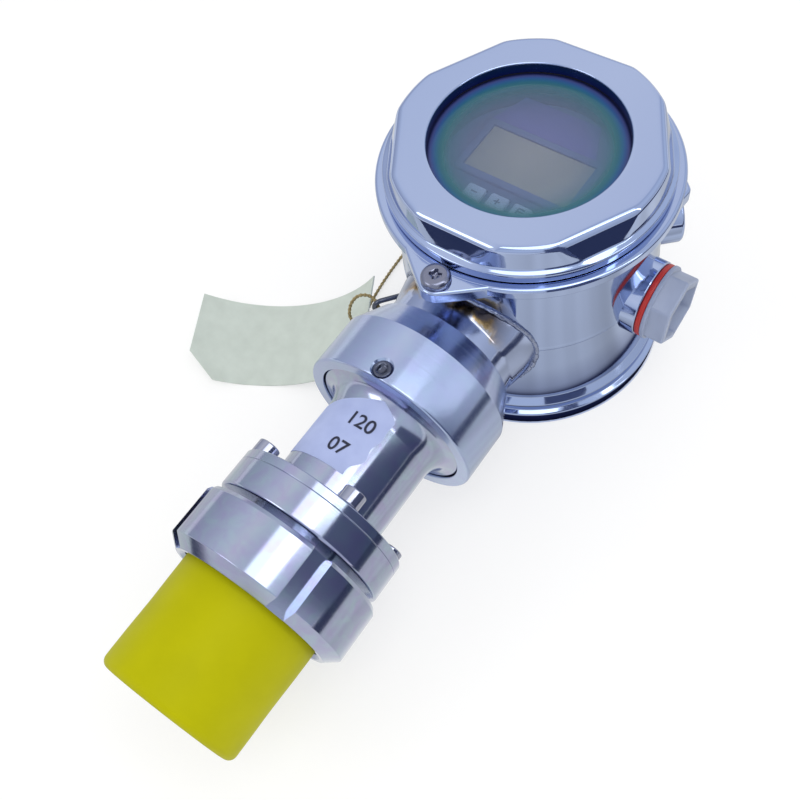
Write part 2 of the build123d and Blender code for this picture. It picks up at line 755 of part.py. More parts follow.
def paper_tag():
    """Curled paper tag: a strip on an arc, with one clipped corner and a hole for the twine."""
    start = math.degrees(math.asin((TAG_FROM - TAG_LOW) / TAG_BEND_R))
    stop = math.degrees(math.asin((TAG_TO - TAG_LOW) / TAG_BEND_R))
    outer = CenterArc((0, TAG_BEND_R), TAG_BEND_R, start - 90, stop - start)
    inner = CenterArc((0, TAG_BEND_R), TAG_BEND_R - TAG_T, start - 90, stop - start)
    face = make_face([outer, inner, Line(outer @ 0, inner @ 0), Line(outer @ 1, inner @ 1)])
    width = TAG_EDGE_FAR - TAG_EDGE_NEAR
    strip = extrude(Plane.XZ * face, width)
    strip = Pos(0, TAG_EDGE_FAR, 0) * strip
    clip = Polyline(
        (TAG_FROM - TAG_LOW - 5, TAG_EDGE_NEAR - 5),
        (TAG_FROM - TAG_LOW - 5, TAG_EDGE_NEAR + TAG_CORNER),
        (TAG_FROM - TAG_LOW, TAG_EDGE_NEAR + TAG_CORNER),
        (TAG_FROM - TAG_LOW + TAG_CORNER, TAG_EDGE_NEAR),
        (TAG_FROM - TAG_LOW + TAG_CORNER, TAG_EDGE_NEAR - 5),
        close=True,
    )
    strip -= extrude(make_face(clip), TAG_BEND_R)
    hole_x = TAG_HOLE_AT[0] - TAG_LOW
    lean = math.degrees(math.asin(hole_x / TAG_BEND_R))
    punch = round_bar(TAG_HOLE_R, -TAG_BEND_R - 2, -TAG_BEND_R + 3)
    return tag_location() * (strip - Pos(0, TAG_HOLE_AT[1], TAG_BEND_R) * Rot(0, -lean, 0) * punch)


def bend_radius(before, corner, after):
    """Radius of the arc at a corner of the twine, as large as its two runs allow."""
    arriving = Vector(*corner) - Vector(*before)
    leaving = Vector(*after) - Vector(*corner)
    turn = math.radians(arriving.get_angle(leaving))
    return 0.45 * min(arriving.length, leaving.length) / math.tan(turn / 2)


def twine():
    """Twine from the eye through the tag's hole and along the table behind the housing."""
    corners = zip(TWINE_POINTS, TWINE_POINTS[1:], TWINE_POINTS[2:])
    radii = [bend_radius(*corner) for corner in corners]
    print("twine radii", [round(radius, 1) for radius in radii])
    route = FilletPolyline(*TWINE_POINTS, radius=radii)
    start = Plane(origin=TWINE_POINTS[0], z_dir=route % 0)
    return sweep(start * Circle(TWINE_R), path=route)


pieces = {
    "housing_shell": housing_shell(),
    "lid_seal": ring(LID_SKIRT_R - 1.1, CAN_BORE_R + 0.2, CAN_H, LID_SEAT),
    "lid_shell": lid_shell(),
    "window_glass": disc(LID_BORE_R - RUN_GAP, GLASS_BASE, GLASS_TOP, 0.5),
    "window_gasket": ring(LID_BORE_R - RUN_GAP, WINDOW_R + 0.4, GLASS_TOP, LIP_Z),
    "window_clamp_ring": ring(LID_BORE_R - RUN_GAP, CLAMP_RING_BORE_R, GLASS_BASE - CLAMP_RING_T, GLASS_BASE),
    "lug_screw": lug_screw(),
    "vent_filter": outward(VENT_ANGLE, VENT_Z)
    * disc(VENT_FILTER_R - 0.05, VENT_REACH - VENT_FILTER_T, VENT_REACH - 0.4, 0.3),
    "cable_plug": outward(0, ENTRY_Z) * cable_plug(),
    "plug_gasket": outward(0, ENTRY_Z) * plug_gasket(),
    "collar_ring": NECK * collar_ring(),
    "collar_set_screw": NECK * collar_set_screw(),
    "neck_body": NECK * neck_body(),
    "shank_seal": NECK * shank_seal(),
    "neck_snap_ring": NECK * ring(SNAP_RING_R, SNAP_GROOVE_R, SNAP_REAR, SNAP_FRONT),
    "flange_bolts": NECK * flange_bolts(),
    "flange_seal": NECK * ring(TUBE_BORE_R + 3, TUBE_BORE_R + 1, DISC_SEAM, DISC_SEAM + 1.6),
    "process_adapter": NECK * process_adapter(),
    "diaphragm": NECK * diaphragm(),
    "union_nut": NECK * union_nut(),
    "protective_cap": NECK * protective_cap(),
    "sensor_module": NECK * sensor_module(),
    "measuring_cell": NECK * measuring_cell(),
    "electronics_insert": electronics_insert(),
    "terminal_block": terminal_block(),
    "terminal_screws": terminal_screws(),
    "display_board": display_board(),
    "display_frame": display_frame(),
    "lcd_panel": lcd_panel(),
    "tag_eye": tag_eye(),
    "paper_tag": paper_tag(),
    "twine": twine(),
}
for name, (key_x, key_y) in zip(("key_minus", "key_plus", "key_enter"), key_places()):
    pieces[name] = Pos(key_x, key_y) * key_cap()

for name, solid in pieces.items():
    export_step(solid, f"parts/{name}.step")
    print(name, round(solid.volume, 1))
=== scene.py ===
"""Visual model of a hygienic stainless-steel pressure transmitter, lying on the back of its housing.

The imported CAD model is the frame. This script dresses it, and builds the pieces whose surface needs
more than the CAD solids hold: the polished housing, its faceted lid, the turned neck, the nut and the cap.
Sizes are in millimetres and are turned to metres as each mesh is built.
"""

from __future__ import annotations

import logging
import math
from contextlib import contextmanager
from dataclasses import dataclass, field
from enum import Enum
from typing import Callable, Iterable, Iterator, Sequence

import bpy
from mathutils import Matrix, Vector, noise

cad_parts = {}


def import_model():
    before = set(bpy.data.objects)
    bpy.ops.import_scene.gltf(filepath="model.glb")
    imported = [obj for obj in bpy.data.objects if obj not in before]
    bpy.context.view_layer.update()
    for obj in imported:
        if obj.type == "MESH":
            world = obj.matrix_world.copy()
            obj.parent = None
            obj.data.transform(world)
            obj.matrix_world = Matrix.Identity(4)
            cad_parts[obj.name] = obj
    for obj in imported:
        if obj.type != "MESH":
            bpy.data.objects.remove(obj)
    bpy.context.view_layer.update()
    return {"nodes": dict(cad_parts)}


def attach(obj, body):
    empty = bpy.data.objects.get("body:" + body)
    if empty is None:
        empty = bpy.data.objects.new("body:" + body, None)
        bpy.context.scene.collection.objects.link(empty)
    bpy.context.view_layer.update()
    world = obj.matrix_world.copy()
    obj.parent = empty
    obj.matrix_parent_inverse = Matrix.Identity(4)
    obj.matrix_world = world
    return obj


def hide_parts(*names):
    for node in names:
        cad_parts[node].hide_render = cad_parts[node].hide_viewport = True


LOG = logging.getLogger("pressure_transmitter")
MM = 0.001  # metres in a millimetre
NECK_HEIGHT = 42.6  # height of the neck's axis, in millimetres
WELD_POINTS = 0.002 * MM  # points closer than this are merged
Corner = tuple[float, float, float]
Place = tuple[float, float, float]
Flat = tuple[float, float]
Tree = bpy.types.NodeTree
Node = bpy.types.Node
Socket = bpy.types.NodeSocket
Piece = bpy.types.Object


class Body(Enum):
    """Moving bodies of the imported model."""

    ROOT = "root"
    WINDOW = "window"
    LID = "lid"
    PLUG_SEAT = "plug_seat"
    PLUG = "plug"
    NECK = "neck"
    NUT = "nut"
    CAP = "cap"
    KEY_LEFT = "key_left"
    KEY_MIDDLE = "key_middle"
    KEY_RIGHT = "key_right"


def linear(hex_colour: str) -> tuple[float, float, float, float]:
    """Turns an sRGB hex colour into the linear colour that a shader takes.

    Args:
        hex_colour: Six digits after a hash sign.

    Returns:
        Red, green, blue and an alpha of 1.
    """
    channels = [int(hex_colour[start : start + 2], 16) / 255 for start in (1, 3, 5)]
    red, green, blue = (c / 12.92 if c <= 0.04045 else ((c + 0.055) / 1.055) ** 2.4 for c in channels)
    return red, green, blue, 1.0


def set_ramp(node: Node, stops: Sequence[tuple[float, str]]) -> None:
    """Sets a colour ramp's stops.

    Args:
        node: A ColorRamp node.
        stops: Position and sRGB hex colour of each stop, in order.
    """
    ramp = node.color_ramp
    while len(ramp.elements) > 1:
        ramp.elements.remove(ramp.elements[-1])
    ramp.elements[0].position = stops[0][0]
    ramp.elements[0].color = linear(stops[0][1])
    for position, colour in stops[1:]:
        ramp.elements.new(position).color = linear(colour)


@dataclass
class Graph:
    """The nodes of one material or of the world, while they are laid out."""

    tree: Tree
    place: Socket | None = None
    shader: Node | None = None
    output: Node | None = None

    def add(
        self,
        kind: str,
        settings: dict[str | int, object] | None = None,
        links: dict[str | int, Node | Socket] | None = None,
    ) -> Node:
        """Adds one node with its settings and incoming links.

        Args:
            kind: Type of the node, without the "ShaderNode" before it.
            settings: Socket defaults by name or number, or node properties by name.
            links: Sockets, or nodes for their first output, by input name or number.

        Returns:
            The new node.
        """
        node = self.tree.nodes.new(f"ShaderNode{kind}")
        sockets = {socket.name for socket in node.inputs}
        for key, value in (settings or {}).items():
            if isinstance(key, int) or key in sockets:
                node.inputs[key].default_value = value
            else:
                setattr(node, key, value)
        for key, source in (links or {}).items():
            self.link(source, node, key)
        return node

    def link(self, source: Node | Socket, node: Node, key: str | int) -> None:
        """Links one input of a node.

        Args:
            source: A socket, or a node for its first output.
            node: The node that is fed.
            key: Name or number of its input.
        """
        self.tree.links.new(source.outputs[0] if isinstance(source, Node) else source, node.inputs[key])

    def relief(self, size: float, detail: float, strength: float, depth: float) -> None:
        """Makes the surface uneven, by noise that bends its normals.

        Args:
            size: Size of its swells or grains in millimetres.
            detail: How much finer relief lies on them.
            strength: Share of the depth that shows.
            depth: Depth in millimetres.
        """
        grain = self.add("TexNoise", {"Scale": 1 / (size * MM), "Detail": detail}, {"Vector": self.place})
        bump = self.add("Bump", {"Strength": strength, "Distance": depth * MM}, {"Height": grain})
        self.link(bump, self.shader, "Normal")

    def mottle(self, size: float, detail: float, tones: tuple[str, str]) -> None:
        """Lets the surface's colour wander between two tones, in patches or streaks.

        Args:
            size: Size of the patches in millimetres.
            detail: How ragged they are.
            tones: The darker and the paler sRGB hex colour.
        """
        patch = self.add("TexNoise", {"Scale": 1 / (size * MM), "Detail": detail}, {"Vector": self.place})
        ramp = self.add("ValToRGB", links={"Fac": patch})
        set_ramp(ramp, [(0.3, tones[0]), (0.7, tones[1])])
        self.link(ramp, self.shader, "Base Color")

    def seen(self, ray: Node) -> Socket:
        """Tells what is seen, directly, in steel or through glass, from what only lights the scene.

        Args:
            ray: The graph's Light Path node.

        Returns:
            Socket that holds 1 for what is seen and 0 for the rest.
        """
        seen = ray.outputs["Is Camera Ray"]
        for kind in ("Is Glossy Ray", "Is Transmission Ray"):
            seen = self.add("Math", {"operation": "MAXIMUM"}, {0: seen, 1: ray.outputs[kind]}).outputs[0]
        return seen


@dataclass(frozen=True)
class Finish:
    """A surface finish: what the material is, and how its surface was made."""

    name: str
    slot: str
    colour: str
    metallic: float = 0.0
    roughness: float = 0.5
    specular: float = 0.5

    def material(self) -> bpy.types.Material:
        """Builds the finish's material, or returns it if it is there already.

        Returns:
            The node-based material.
        """
        known = bpy.data.materials.get(self.name)
        if known:
            return known
        material = bpy.data.materials.new(self.name)
        material.use_nodes = True
        graph = Graph(material.node_tree)
        graph.tree.nodes.clear()
        graph.place = graph.add("TexCoord").outputs["Object"]
        graph.shader = graph.add(
            "BsdfPrincipled",
            {
                "Base Color": linear(self.colour),
                "Metallic": self.metallic,
                "Roughness": self.roughness,
                "Specular IOR Level": self.specular,
            },
        )
        graph.output = graph.add("OutputMaterial", links={"Surface": graph.shader})
        self.pattern(graph)
        return material

    def pattern(self, graph: Graph) -> None:
        """Adds the finish's own pattern to its shader.

        Args:
            graph: The material's nodes.
        """


@dataclass(frozen=True)
class PolishedSteel(Finish):
    """Electropolished 316L sheet: mirror-like, with the faint unevenness of drawn metal."""

    metallic: float = 1.0
    roughness: float = 0.07
    smear_mm: float = 9.0
    swell_mm: float = 26.0
    swell_depth: float = 0.12

    def pattern(self, graph: Graph) -> None:
        """Adds a slow swell to the surface and faint smears to its gloss.

        Args:
            graph: The material's nodes.
        """
        smear = graph.add(
            "TexNoise",
            {"Scale": 1 / (self.smear_mm * MM), "Detail": 4.0, "Roughness": 0.6},
            {"Vector": graph.place},
        )
        gloss = {"To Min": self.roughness * 0.7, "To Max": self.roughness * 1.7}
        rough = graph.add("MapRange", {"From Min": 0.35, "From Max": 0.75, **gloss}, {"Value": smear})
        graph.link(rough, graph.shader, "Roughness")
        graph.relief(size=self.swell_mm, detail=1.0, strength=self.swell_depth, depth=1.0)
        self.tint(graph)

    def tint(self, graph: Graph) -> None:
        """Colours the steel where its finish isn't even.

        Args:
            graph: The material's nodes.
        """


@dataclass(frozen=True)
class HeatTintedSteel(PolishedSteel):
    """Polished pipe beside a weld: straw and brown oxide, which fades away from the seam."""

    seam_mm: float = -46.0
    clear_mm: float = 4.0
    fade_mm: float = 8.0
    side_mm: float = 21.0
    side_fade_mm: float = 7.0
    patch_mm: float = 7.0
    ragged_mm: float = 14.0

    def tint(self, graph: Graph) -> None:
        """Adds the oxide colours by the distance from the weld, uneven as a torch leaves them.

        Args:
            graph: The material's nodes.
        """
        parts = graph.add("SeparateXYZ", links={"Vector": graph.place})
        patch = graph.add(
            "TexNoise",
            {"Scale": 1 / (self.patch_mm * MM), "Detail": 4.0, "Distortion": 0.6},
            {"Vector": graph.place},
        )
        ragged = graph.add(
            "Math",
            {"operation": "MULTIPLY_ADD", 1: -self.ragged_mm * MM},
            {0: patch, 2: parts.outputs["Y"]},
        )
        start = self.seam_mm - self.clear_mm
        away = graph.add(
            "MapRange", {"From Min": start * MM, "From Max": (start - self.fade_mm) * MM}, {"Value": ragged}
        )
        ramp = graph.add("ValToRGB", links={"Fac": away})
        set_ramp(
            ramp,
            [(0.0, "#4A4448"), (0.2, "#6A5840"), (0.38, "#A8906A"), (0.5, "#B4B2B4"), (0.7, self.colour)],
        )
        sideways = graph.add("Math", {"operation": "ABSOLUTE"}, {0: parts.outputs["X"]})
        fade = graph.add(
            "MapRange",
            {"From Min": self.side_mm * MM, "From Max": (self.side_mm - self.side_fade_mm) * MM},
            {"Value": sideways},
        )
        oxide = graph.add("Mix", {"data_type": "RGBA", 6: linear(self.colour)}, {0: fade, 7: ramp})
        graph.link(oxide.outputs[2], graph.shader, "Base Color")


@dataclass(frozen=True)
class TurnedSteel(Finish):
    """Lathe-turned stainless bar: fine rings about the neck's axis, which stretch each highlight."""

    metallic: float = 1.0
    roughness: float = 0.15
    ring_mm: float = 0.35
    depth: float = 0.05
    rainbow: float = 0.04
    rainbow_mm: float = 5.0

    def pattern(self, graph: Graph) -> None:
        """Adds tool rings; their real feed of about 0.15 mm is drawn coarser, so that it shows.

        Args:
            graph: The material's nodes.
        """
        across = graph.add(
            "VectorMath",
            {"operation": "MULTIPLY_ADD", 1: (1, 0, 1), 2: (0, 0, -NECK_HEIGHT * MM)},
            {0: graph.place},
        )
        radius = graph.add("VectorMath", {"operation": "LENGTH"}, {0: across})
        parts = graph.add("SeparateXYZ", links={"Vector": graph.place})
        feed = graph.add("Math", {"operation": "ADD"}, {0: parts.outputs["Y"], 1: radius.outputs["Value"]})
        rings = graph.add(
            "TexNoise",
            {"noise_dimensions": "1D", "Scale": 1 / (self.ring_mm * MM), "Detail": 3.0, "Roughness": 0.7},
            {"W": feed},
        )
        gloss = {"To Min": self.roughness * 0.75, "To Max": self.roughness * 1.35}
        rough = graph.add("MapRange", {"From Min": 0.3, "From Max": 0.7, **gloss}, {"Value": rings})
        graph.link(rough, graph.shader, "Roughness")
        bump = graph.add("Bump", {"Strength": self.depth, "Distance": 0.05 * MM}, {"Height": rings})
        graph.link(bump, graph.shader, "Normal")
        slow = graph.add(
            "TexNoise",
            {"Scale": 1 / (self.rainbow_mm * MM), "Detail": 2.0, "Distortion": 0.4},
            {"Vector": graph.place},
        )
        hues = {"To Min": 0.5 - self.rainbow, "To Max": 0.5 + self.rainbow}
        hue = graph.add("MapRange", {"From Min": 0.3, "From Max": 0.7, **hues}, {"Value": slow})
        colour = graph.add("HueSaturation", {"Color": linear(self.colour)}, {"Hue": hue})
        graph.link(colour, graph.shader, "Base Color")
        tangent = graph.add("Tangent", {"direction_type": "RADIAL", "axis": "Y"})
        graph.link(tangent, graph.shader, "Tangent")
        graph.shader.inputs["Anisotropic"].default_value = 0.6
        graph.shader.inputs["Anisotropic Rotation"].default_value = 0.25


@dataclass(frozen=True)
class MouldedPlastic(Finish):
    """Injection-moulded or dipped plastic: even colour with a fine spark-eroded grain."""

    roughness: float = 0.45
    grain_mm: float = 0.35
    depth: float = 0.15
    cloud: float = 0.07
    cloud_mm: float = 14.0

    def pattern(self, graph: Graph) -> None:
        """Adds the mould's grain and a slight unevenness of colour.

        Args:
            graph: The material's nodes.
        """
        graph.relief(size=self.grain_mm, detail=2.0, strength=self.depth, depth=0.1)
        patch = graph.add(
            "TexNoise", {"Scale": 1 / (self.cloud_mm * MM), "Detail": 4.0}, {"Vector": graph.place}
        )
        tones = {"To Min": 1 - self.cloud, "To Max": 1 + self.cloud}
        tone = graph.add("MapRange", {"From Min": 0.3, "From Max": 0.7, **tones}, {"Value": patch})
        shade = graph.add("HueSaturation", {"Color": linear(self.colour)}, {"Value": tone})
        graph.link(shade, graph.shader, "Base Color")


@dataclass(frozen=True)
class CoatedGlass(Finish):
    """Toughened window glass with an anti-glare coating, whose teal, violet and navy rings at the edge are
    painted reflection and painted shade.
    """

    roughness: float = 0.01
    rim_mm: float = 31.0

    def pattern(self, graph: Graph) -> None:
        """Makes the glass clear under a thin coloured veil with painted rings, and lets light through to the
        display.

        Args:
            graph: The material's nodes.
        """
        graph.shader.inputs["Transmission Weight"].default_value = 1.0
        graph.shader.inputs["IOR"].default_value = 1.5
        parts = graph.add("SeparateXYZ", links={"Vector": graph.place})
        level = graph.add("CombineXYZ", links={"X": parts.outputs["X"], "Y": parts.outputs["Y"]})
        radius = graph.add("VectorMath", {"operation": "LENGTH"}, {0: level})
        reach = graph.add("MapRange", {"From Max": self.rim_mm * MM}, {"Value": radius.outputs["Value"]})
        # Painted reflection rings by distance from the middle, and painted shade in navy at the very rim.
        tone = graph.add("ValToRGB", links={"Fac": reach})
        set_ramp(
            tone,
            [
                (0.0, "#747AA4"),
                (0.6, "#62739A"),
                (0.774, "#4C7088"),
                (0.84, "#3C707C"),
                (0.875, "#33697A"),
                (0.905, "#2F6486"),
                (0.94, "#35568E"),
                (0.97, "#424C85"),
                (0.995, "#1A1E44"),
            ],
        )
        # The veil covers more towards the rim, so the painted rings show there almost alone.
        cover = graph.add("ValToRGB", links={"Fac": reach})
        set_ramp(
            cover,
            [(0.0, "#767676"), (0.55, "#828282"), (0.76, "#B0B0B0"), (0.85, "#E0E0E0"), (0.93, "#FAFAFA")],
        )
        painted_veil = graph.add(
            "BsdfPrincipled", {"Roughness": 0.12, "Specular IOR Level": self.specular}, {"Base Color": tone}
        )
        coated = graph.add("MixShader", links={0: cover, 1: graph.shader, 2: painted_veil})
        clear = graph.add("BsdfTransparent", {"Color": linear(self.colour)})
        shadow = graph.add("LightPath").outputs["Is Shadow Ray"]
        mixed = graph.add("MixShader", links={0: shadow, 1: coated, 2: clear})
        graph.link(mixed, graph.output, "Surface")


@dataclass(frozen=True)
class FibrePaper(Finish):
    """Uncoated tag paper: matt, with short fibres and a slight mottle."""

    roughness: float = 0.85
    shade: str = "#C2CBC3"
    mottle_mm: float = 6.0
    fibre_mm: float = 0.5

    def pattern(self, graph: Graph) -> None:
        """Adds the mottle and the fibre's fine relief.

        Args:
            graph: The material's nodes.
        """
        graph.mottle(size=self.mottle_mm, detail=6.0, tones=(self.shade, self.colour))
        graph.relief(size=self.fibre_mm, detail=3.0, strength=0.2, depth=0.1)


@dataclass(frozen=True)
class JuteFibre(Finish):
    """Twisted jute yarn: dry, hairy and straw-brown."""

    roughness: float = 0.9
    shade: str = "#6E5E38"
    streak_mm: float = 0.6

    def pattern(self, graph: Graph) -> None:
        """Adds streaks of paler and darker fibre.

        Args:
            graph: The material's nodes.
        """
        graph.mottle(size=self.streak_mm, detail=4.0, tones=(self.shade, self.colour))
        graph.relief(size=self.streak_mm, detail=4.0, strength=0.6, depth=0.15)


@dataclass(frozen=True)
class TableTop(Finish):
    """White table top, lifted so that it shows white and keeps only a faint shadow."""

    lift: float = 0.62

    def pattern(self, graph: Graph) -> None:
        """Mixes plain white into what the camera, the steel and the glass see of the table.

        Args:
            graph: The material's nodes.
        """
        seen = graph.seen(graph.add("LightPath"))
        share = graph.add("Math", {"operation": "MULTIPLY", 1: self.lift}, {0: seen})
        plain = graph.add("Emission", {"Color": linear("#FFFFFF"), "Strength": 1.0})
        mixed = graph.add("MixShader", links={0: share, 1: graph.shader, 2: plain})
        graph.link(mixed, graph.output, "Surface")


@dataclass(frozen=True)
class PaintedShadowCard(Finish):
    """Card round the housing's foot, seen only in reflections: a painted shadow, dark where the housing
    stands on it, with painted streaks and paler outwards.
    """

    inner_mm: float = 48.0
    outer_mm: float = 450.0

    def pattern(self, graph: Graph) -> None:
        """Paints the housing's shadow and the streaks by distance and direction from the housing, and lets
        the card glow with them.

        Args:
            graph: The material's nodes.
        """
        parts = graph.add("SeparateXYZ", links={"Vector": graph.place})
        distance = graph.add("VectorMath", {"operation": "LENGTH"}, {0: graph.place})
        share = graph.add(
            "MapRange",
            {"From Min": self.inner_mm * MM, "From Max": self.outer_mm * MM},
            {"Value": distance.outputs["Value"]},
        )
        # Painted shadow: dark navy next to the housing's foot, fading to pale grey outwards.
        ramp = graph.add("ValToRGB", links={"Fac": share})
        set_ramp(
            ramp,
            [
                (0.0, "#0C0F22"),
                (0.008, "#2A3050"),
                (0.013, "#B0B3BC"),
                (0.035, "#DCDEDD"),
                (0.13, "#ECEDEA"),
                (1.0, "#EEEFEE"),
            ],
        )
        # Painted streaks round the housing, which show as bands in the wall's reflection.
        turn = graph.add("Math", {"operation": "ARCTAN2"}, {0: parts.outputs["Y"], 1: parts.outputs["X"]})
        streak = graph.add(
            "TexNoise",
            {"noise_dimensions": "1D", "Scale": 2.6, "Detail": 1.5, "Roughness": 0.5},
            {"W": turn},
        )
        tone = graph.add(
            "MapRange",
            {"From Min": 0.3, "From Max": 0.65, "To Min": 0.72, "To Max": 1.08},
            {"Value": streak},
        )
        shade = graph.add("HueSaturation", links={"Color": ramp, "Value": tone})
        # The card glows with its painted tones instead of being lit.
        plain = graph.add("Emission", {"Strength": 1.0}, {"Color": shade})
        graph.link(plain, graph.output, "Surface")


# Mirror-like sheet: shows the pale room and the dark cards sharply, a little bent by its swell.
POLISHED = PolishedSteel("electropolished_steel", "polished_steel", "#A9B7DA")
# The same sheet inside the lid's bore, coloured dark navy as painted shade: reads as the dark rim round the
# display.
SHADED_LIP_STEEL = PolishedSteel("painted_shade_lip_steel", "polished_steel", "#3A4474", roughness=0.2, swell_depth=0.02)
# Pipe beside the weld: straw and brown where the torch heated it, and a blurred polish below.
PIPE = HeatTintedSteel("heat_tinted_pipe_steel", "polished_steel", "#A9B4D4", roughness=0.14)
# Weld bead: ripples of about 1.6 mm break the reflection up into short glints.
WELD = PolishedSteel(
    "weld_bead_steel", "polished_steel", "#9AA2BC", roughness=0.3, swell_mm=1.6, swell_depth=0.7
)
# Turned bar: rings that draw each highlight out into a streak, with a faint play of hues.
TURNED = TurnedSteel("lathe_turned_steel", "turned_steel", "#A9B0C8")
# Collar: turned finer and duller, so that it shows soft bands beside the bright discs.
COLLAR_SATIN = TurnedSteel(
    "satin_collar_steel", "turned_steel", "#AEBADA", roughness=0.2, depth=0.03, rainbow=0.01
)
# Screws and wire: even steel, from bright heads to a set screw darkened with painted shade and a dark eye.
BRIGHT_SCREW = PolishedSteel("bright_screw_steel", "screw_steel", "#A6A9BC", roughness=0.14, swell_depth=0.02)
# Painted shade: the set screw is coloured dark for the shade of its countersunk hole.
SET_SCREW = PolishedSteel("shaded_set_screw_steel", "screw_steel", "#585C6C", roughness=0.2, swell_depth=0.02)
DARK_SCREW = PolishedSteel("dark_screw_steel", "screw_steel", "#83869A", roughness=0.2, swell_depth=0.02)
DARK_WIRE = PolishedSteel("dark_eye_wire", "polished_steel", "#5A5E6C", roughness=0.2, swell_depth=0.02)
# Plated brass: warm and slightly dull, on the terminals inside.
TERMINAL_BRASS = PolishedSteel("plated_terminal_brass", "terminal_brass", "#D0AC62", roughness=0.25)
# Coated glass: a violet-blue veil over the display, with painted reflection rings in teal and painted shade
# in navy at the rim.
GLASS = CoatedGlass("coated_window_glass", "window_glass", "#EEF2FA", specular=0.15)
# Rubber: matt black in the joints, and a smoother red line under the plug.
BLACK_RUBBER = MouldedPlastic("black_seal_rubber", "seal_rubber", "#1B1B20", roughness=0.6)
RED_RUBBER = MouldedPlastic("red_silicone_gasket", "red_gasket", "#B0201C", roughness=0.4)
# Dipped vinyl: a soft, almost shineless yellow with shallow dimples and a slight cloud.
CAP_VINYL = MouldedPlastic(
    "yellow_dipped_vinyl",
    "cap_plastic",
    "#AEAC00",
    roughness=0.5,
    specular=0.08,
    grain_mm=1.6,
    depth=0.3,
    cloud=0.045,
)
# Moulded nylon: a fine grain and a broad, soft highlight on plug and vent.
PLUG_NYLON = MouldedPlastic("grey_blue_nylon", "plug_plastic", "#8E99B4", roughness=0.4)
VENT_NYLON = MouldedPlastic("dark_vent_nylon", "vent_plastic", "#34363C")
# Display parts: flat and nearly shineless, so that only their colours show under the glass.
CARRIER_ABS = MouldedPlastic(
    "blue_grey_carrier_abs", "carrier_plastic", "#5C7290", roughness=0.6, specular=0.08, depth=0.0
)
COVER_ABS = MouldedPlastic(
    "violet_cover_abs", "carrier_plastic", "#6264A2", roughness=0.6, specular=0.08, depth=0.0
)
KEY_RUBBER = MouldedPlastic(
    "pale_key_rubber", "key_plastic", "#CCDEF0", roughness=0.6, specular=0.1, grain_mm=0.5, cloud=0.12
)
KEY_INK = MouldedPlastic("key_mark_ink", "", "#46506A", roughness=0.6)
LCD_GLASS = MouldedPlastic("grey_green_lcd", "lcd", "#A2A486", roughness=0.4, specular=0.1, depth=0.0)
# Electronics inside: plain resin, nylon and ceramic, seen only when the lid is off.
BOARD_RESIN = MouldedPlastic("green_board_resin", "circuit_board", "#1E4A2C")
POTTING_RESIN = MouldedPlastic("black_potting_resin", "potting", "#17171A")
TERMINAL_NYLON = MouldedPlastic("green_terminal_nylon", "terminal_plastic", "#3A5A42")
CELL_CERAMIC = MouldedPlastic("alumina_cell_ceramic", "cell_ceramic", "#E4E1DA")
# Paper: a matt, mottled grey-green tag, and a smoother, bluer label with dark ink.
TAG_PAPER = FibrePaper("grey_green_tag_paper", "tag_paper", "#CBD4CC")
LABEL_PAPER = FibrePaper(
    "pale_label_paper", "tag_paper", "#B0BCE4", roughness=0.6, specular=0.2, shade="#A6B2DC"
)
LABEL_INK = MouldedPlastic("label_ink", "", "#23263C", roughness=0.7)
# Jute: dry and shineless, streaked in straw and brown along the strands.
JUTE = JuteFibre("twisted_jute", "twine_jute", "#B8A678")
# Studio: the white table, and the cards that only reflections see.
TABLE_TOP = TableTop("white_table_top", "", "#FFFFFF", roughness=0.9, specular=0.0)
# Painted shadow of the housing's foot and painted streaks, for reflections only.
PAINTED_SHADOW_CARD = PaintedShadowCard("painted_shadow_card", "", "#B4BCD2")
NAVY_CARD = Finish("navy_card", "", "#383F58", roughness=1.0, specular=0.0)
GREY_CARD = Finish("grey_card", "", "#626A86", roughness=1.0, specular=0.0)

FINISHED_NODES: dict[Finish, tuple[str, ...]] = {
    POLISHED: ("housing_shell", "lid_shell"),
    DARK_WIRE: ("tag_eye",),
    COLLAR_SATIN: ("collar_ring",),
    TURNED: ("neck_body", "neck_snap_ring", "process_adapter", "diaphragm", "union_nut", "window_clamp_ring"),
    DARK_SCREW: ("lug_screw",),
    SET_SCREW: ("collar_set_screw",),
    BRIGHT_SCREW: ("flange_bolts",),
    GLASS: ("window_glass",),
    BLACK_RUBBER: ("lid_seal", "window_gasket", "shank_seal", "flange_seal"),
    RED_RUBBER: ("plug_gasket",),
    PLUG_NYLON: ("cable_plug",),
    CAP_VINYL: ("protective_cap",),
    VENT_NYLON: ("vent_filter",),
    CARRIER_ABS: ("display_frame",),
    KEY_RUBBER: ("key_minus", "key_plus", "key_enter"),
    LCD_GLASS: ("lcd_panel",),
    BOARD_RESIN: ("display_board",),
    POTTING_RESIN: ("electronics_insert", "sensor_module"),
    TERMINAL_NYLON: ("terminal_block",),
    TERMINAL_BRASS: ("terminal_screws",),
    CELL_CERAMIC: ("measuring_cell",),
    TAG_PAPER: ("paper_tag",),
    JUTE: ("twine",),
}
NODE_FINISHES = {name: finish for finish, names in FINISHED_NODES.items() for name in names}

COPIED_NODES: dict[str, Body] = {
    "lug_screw": Body.ROOT,
    "collar_set_screw": Body.ROOT,
    "flange_bolts": Body.NECK,
    "cable_plug": Body.PLUG,
    "plug_gasket": Body.PLUG_SEAT,
    "tag_eye": Body.ROOT,
    "display_frame": Body.ROOT,
    "lcd_panel": Body.ROOT,
    "vent_filter": Body.ROOT,
    "key_minus": Body.KEY_LEFT,
    "key_plus": Body.KEY_MIDDLE,
    "key_enter": Body.KEY_RIGHT,
    "window_clamp_ring": Body.WINDOW,
}


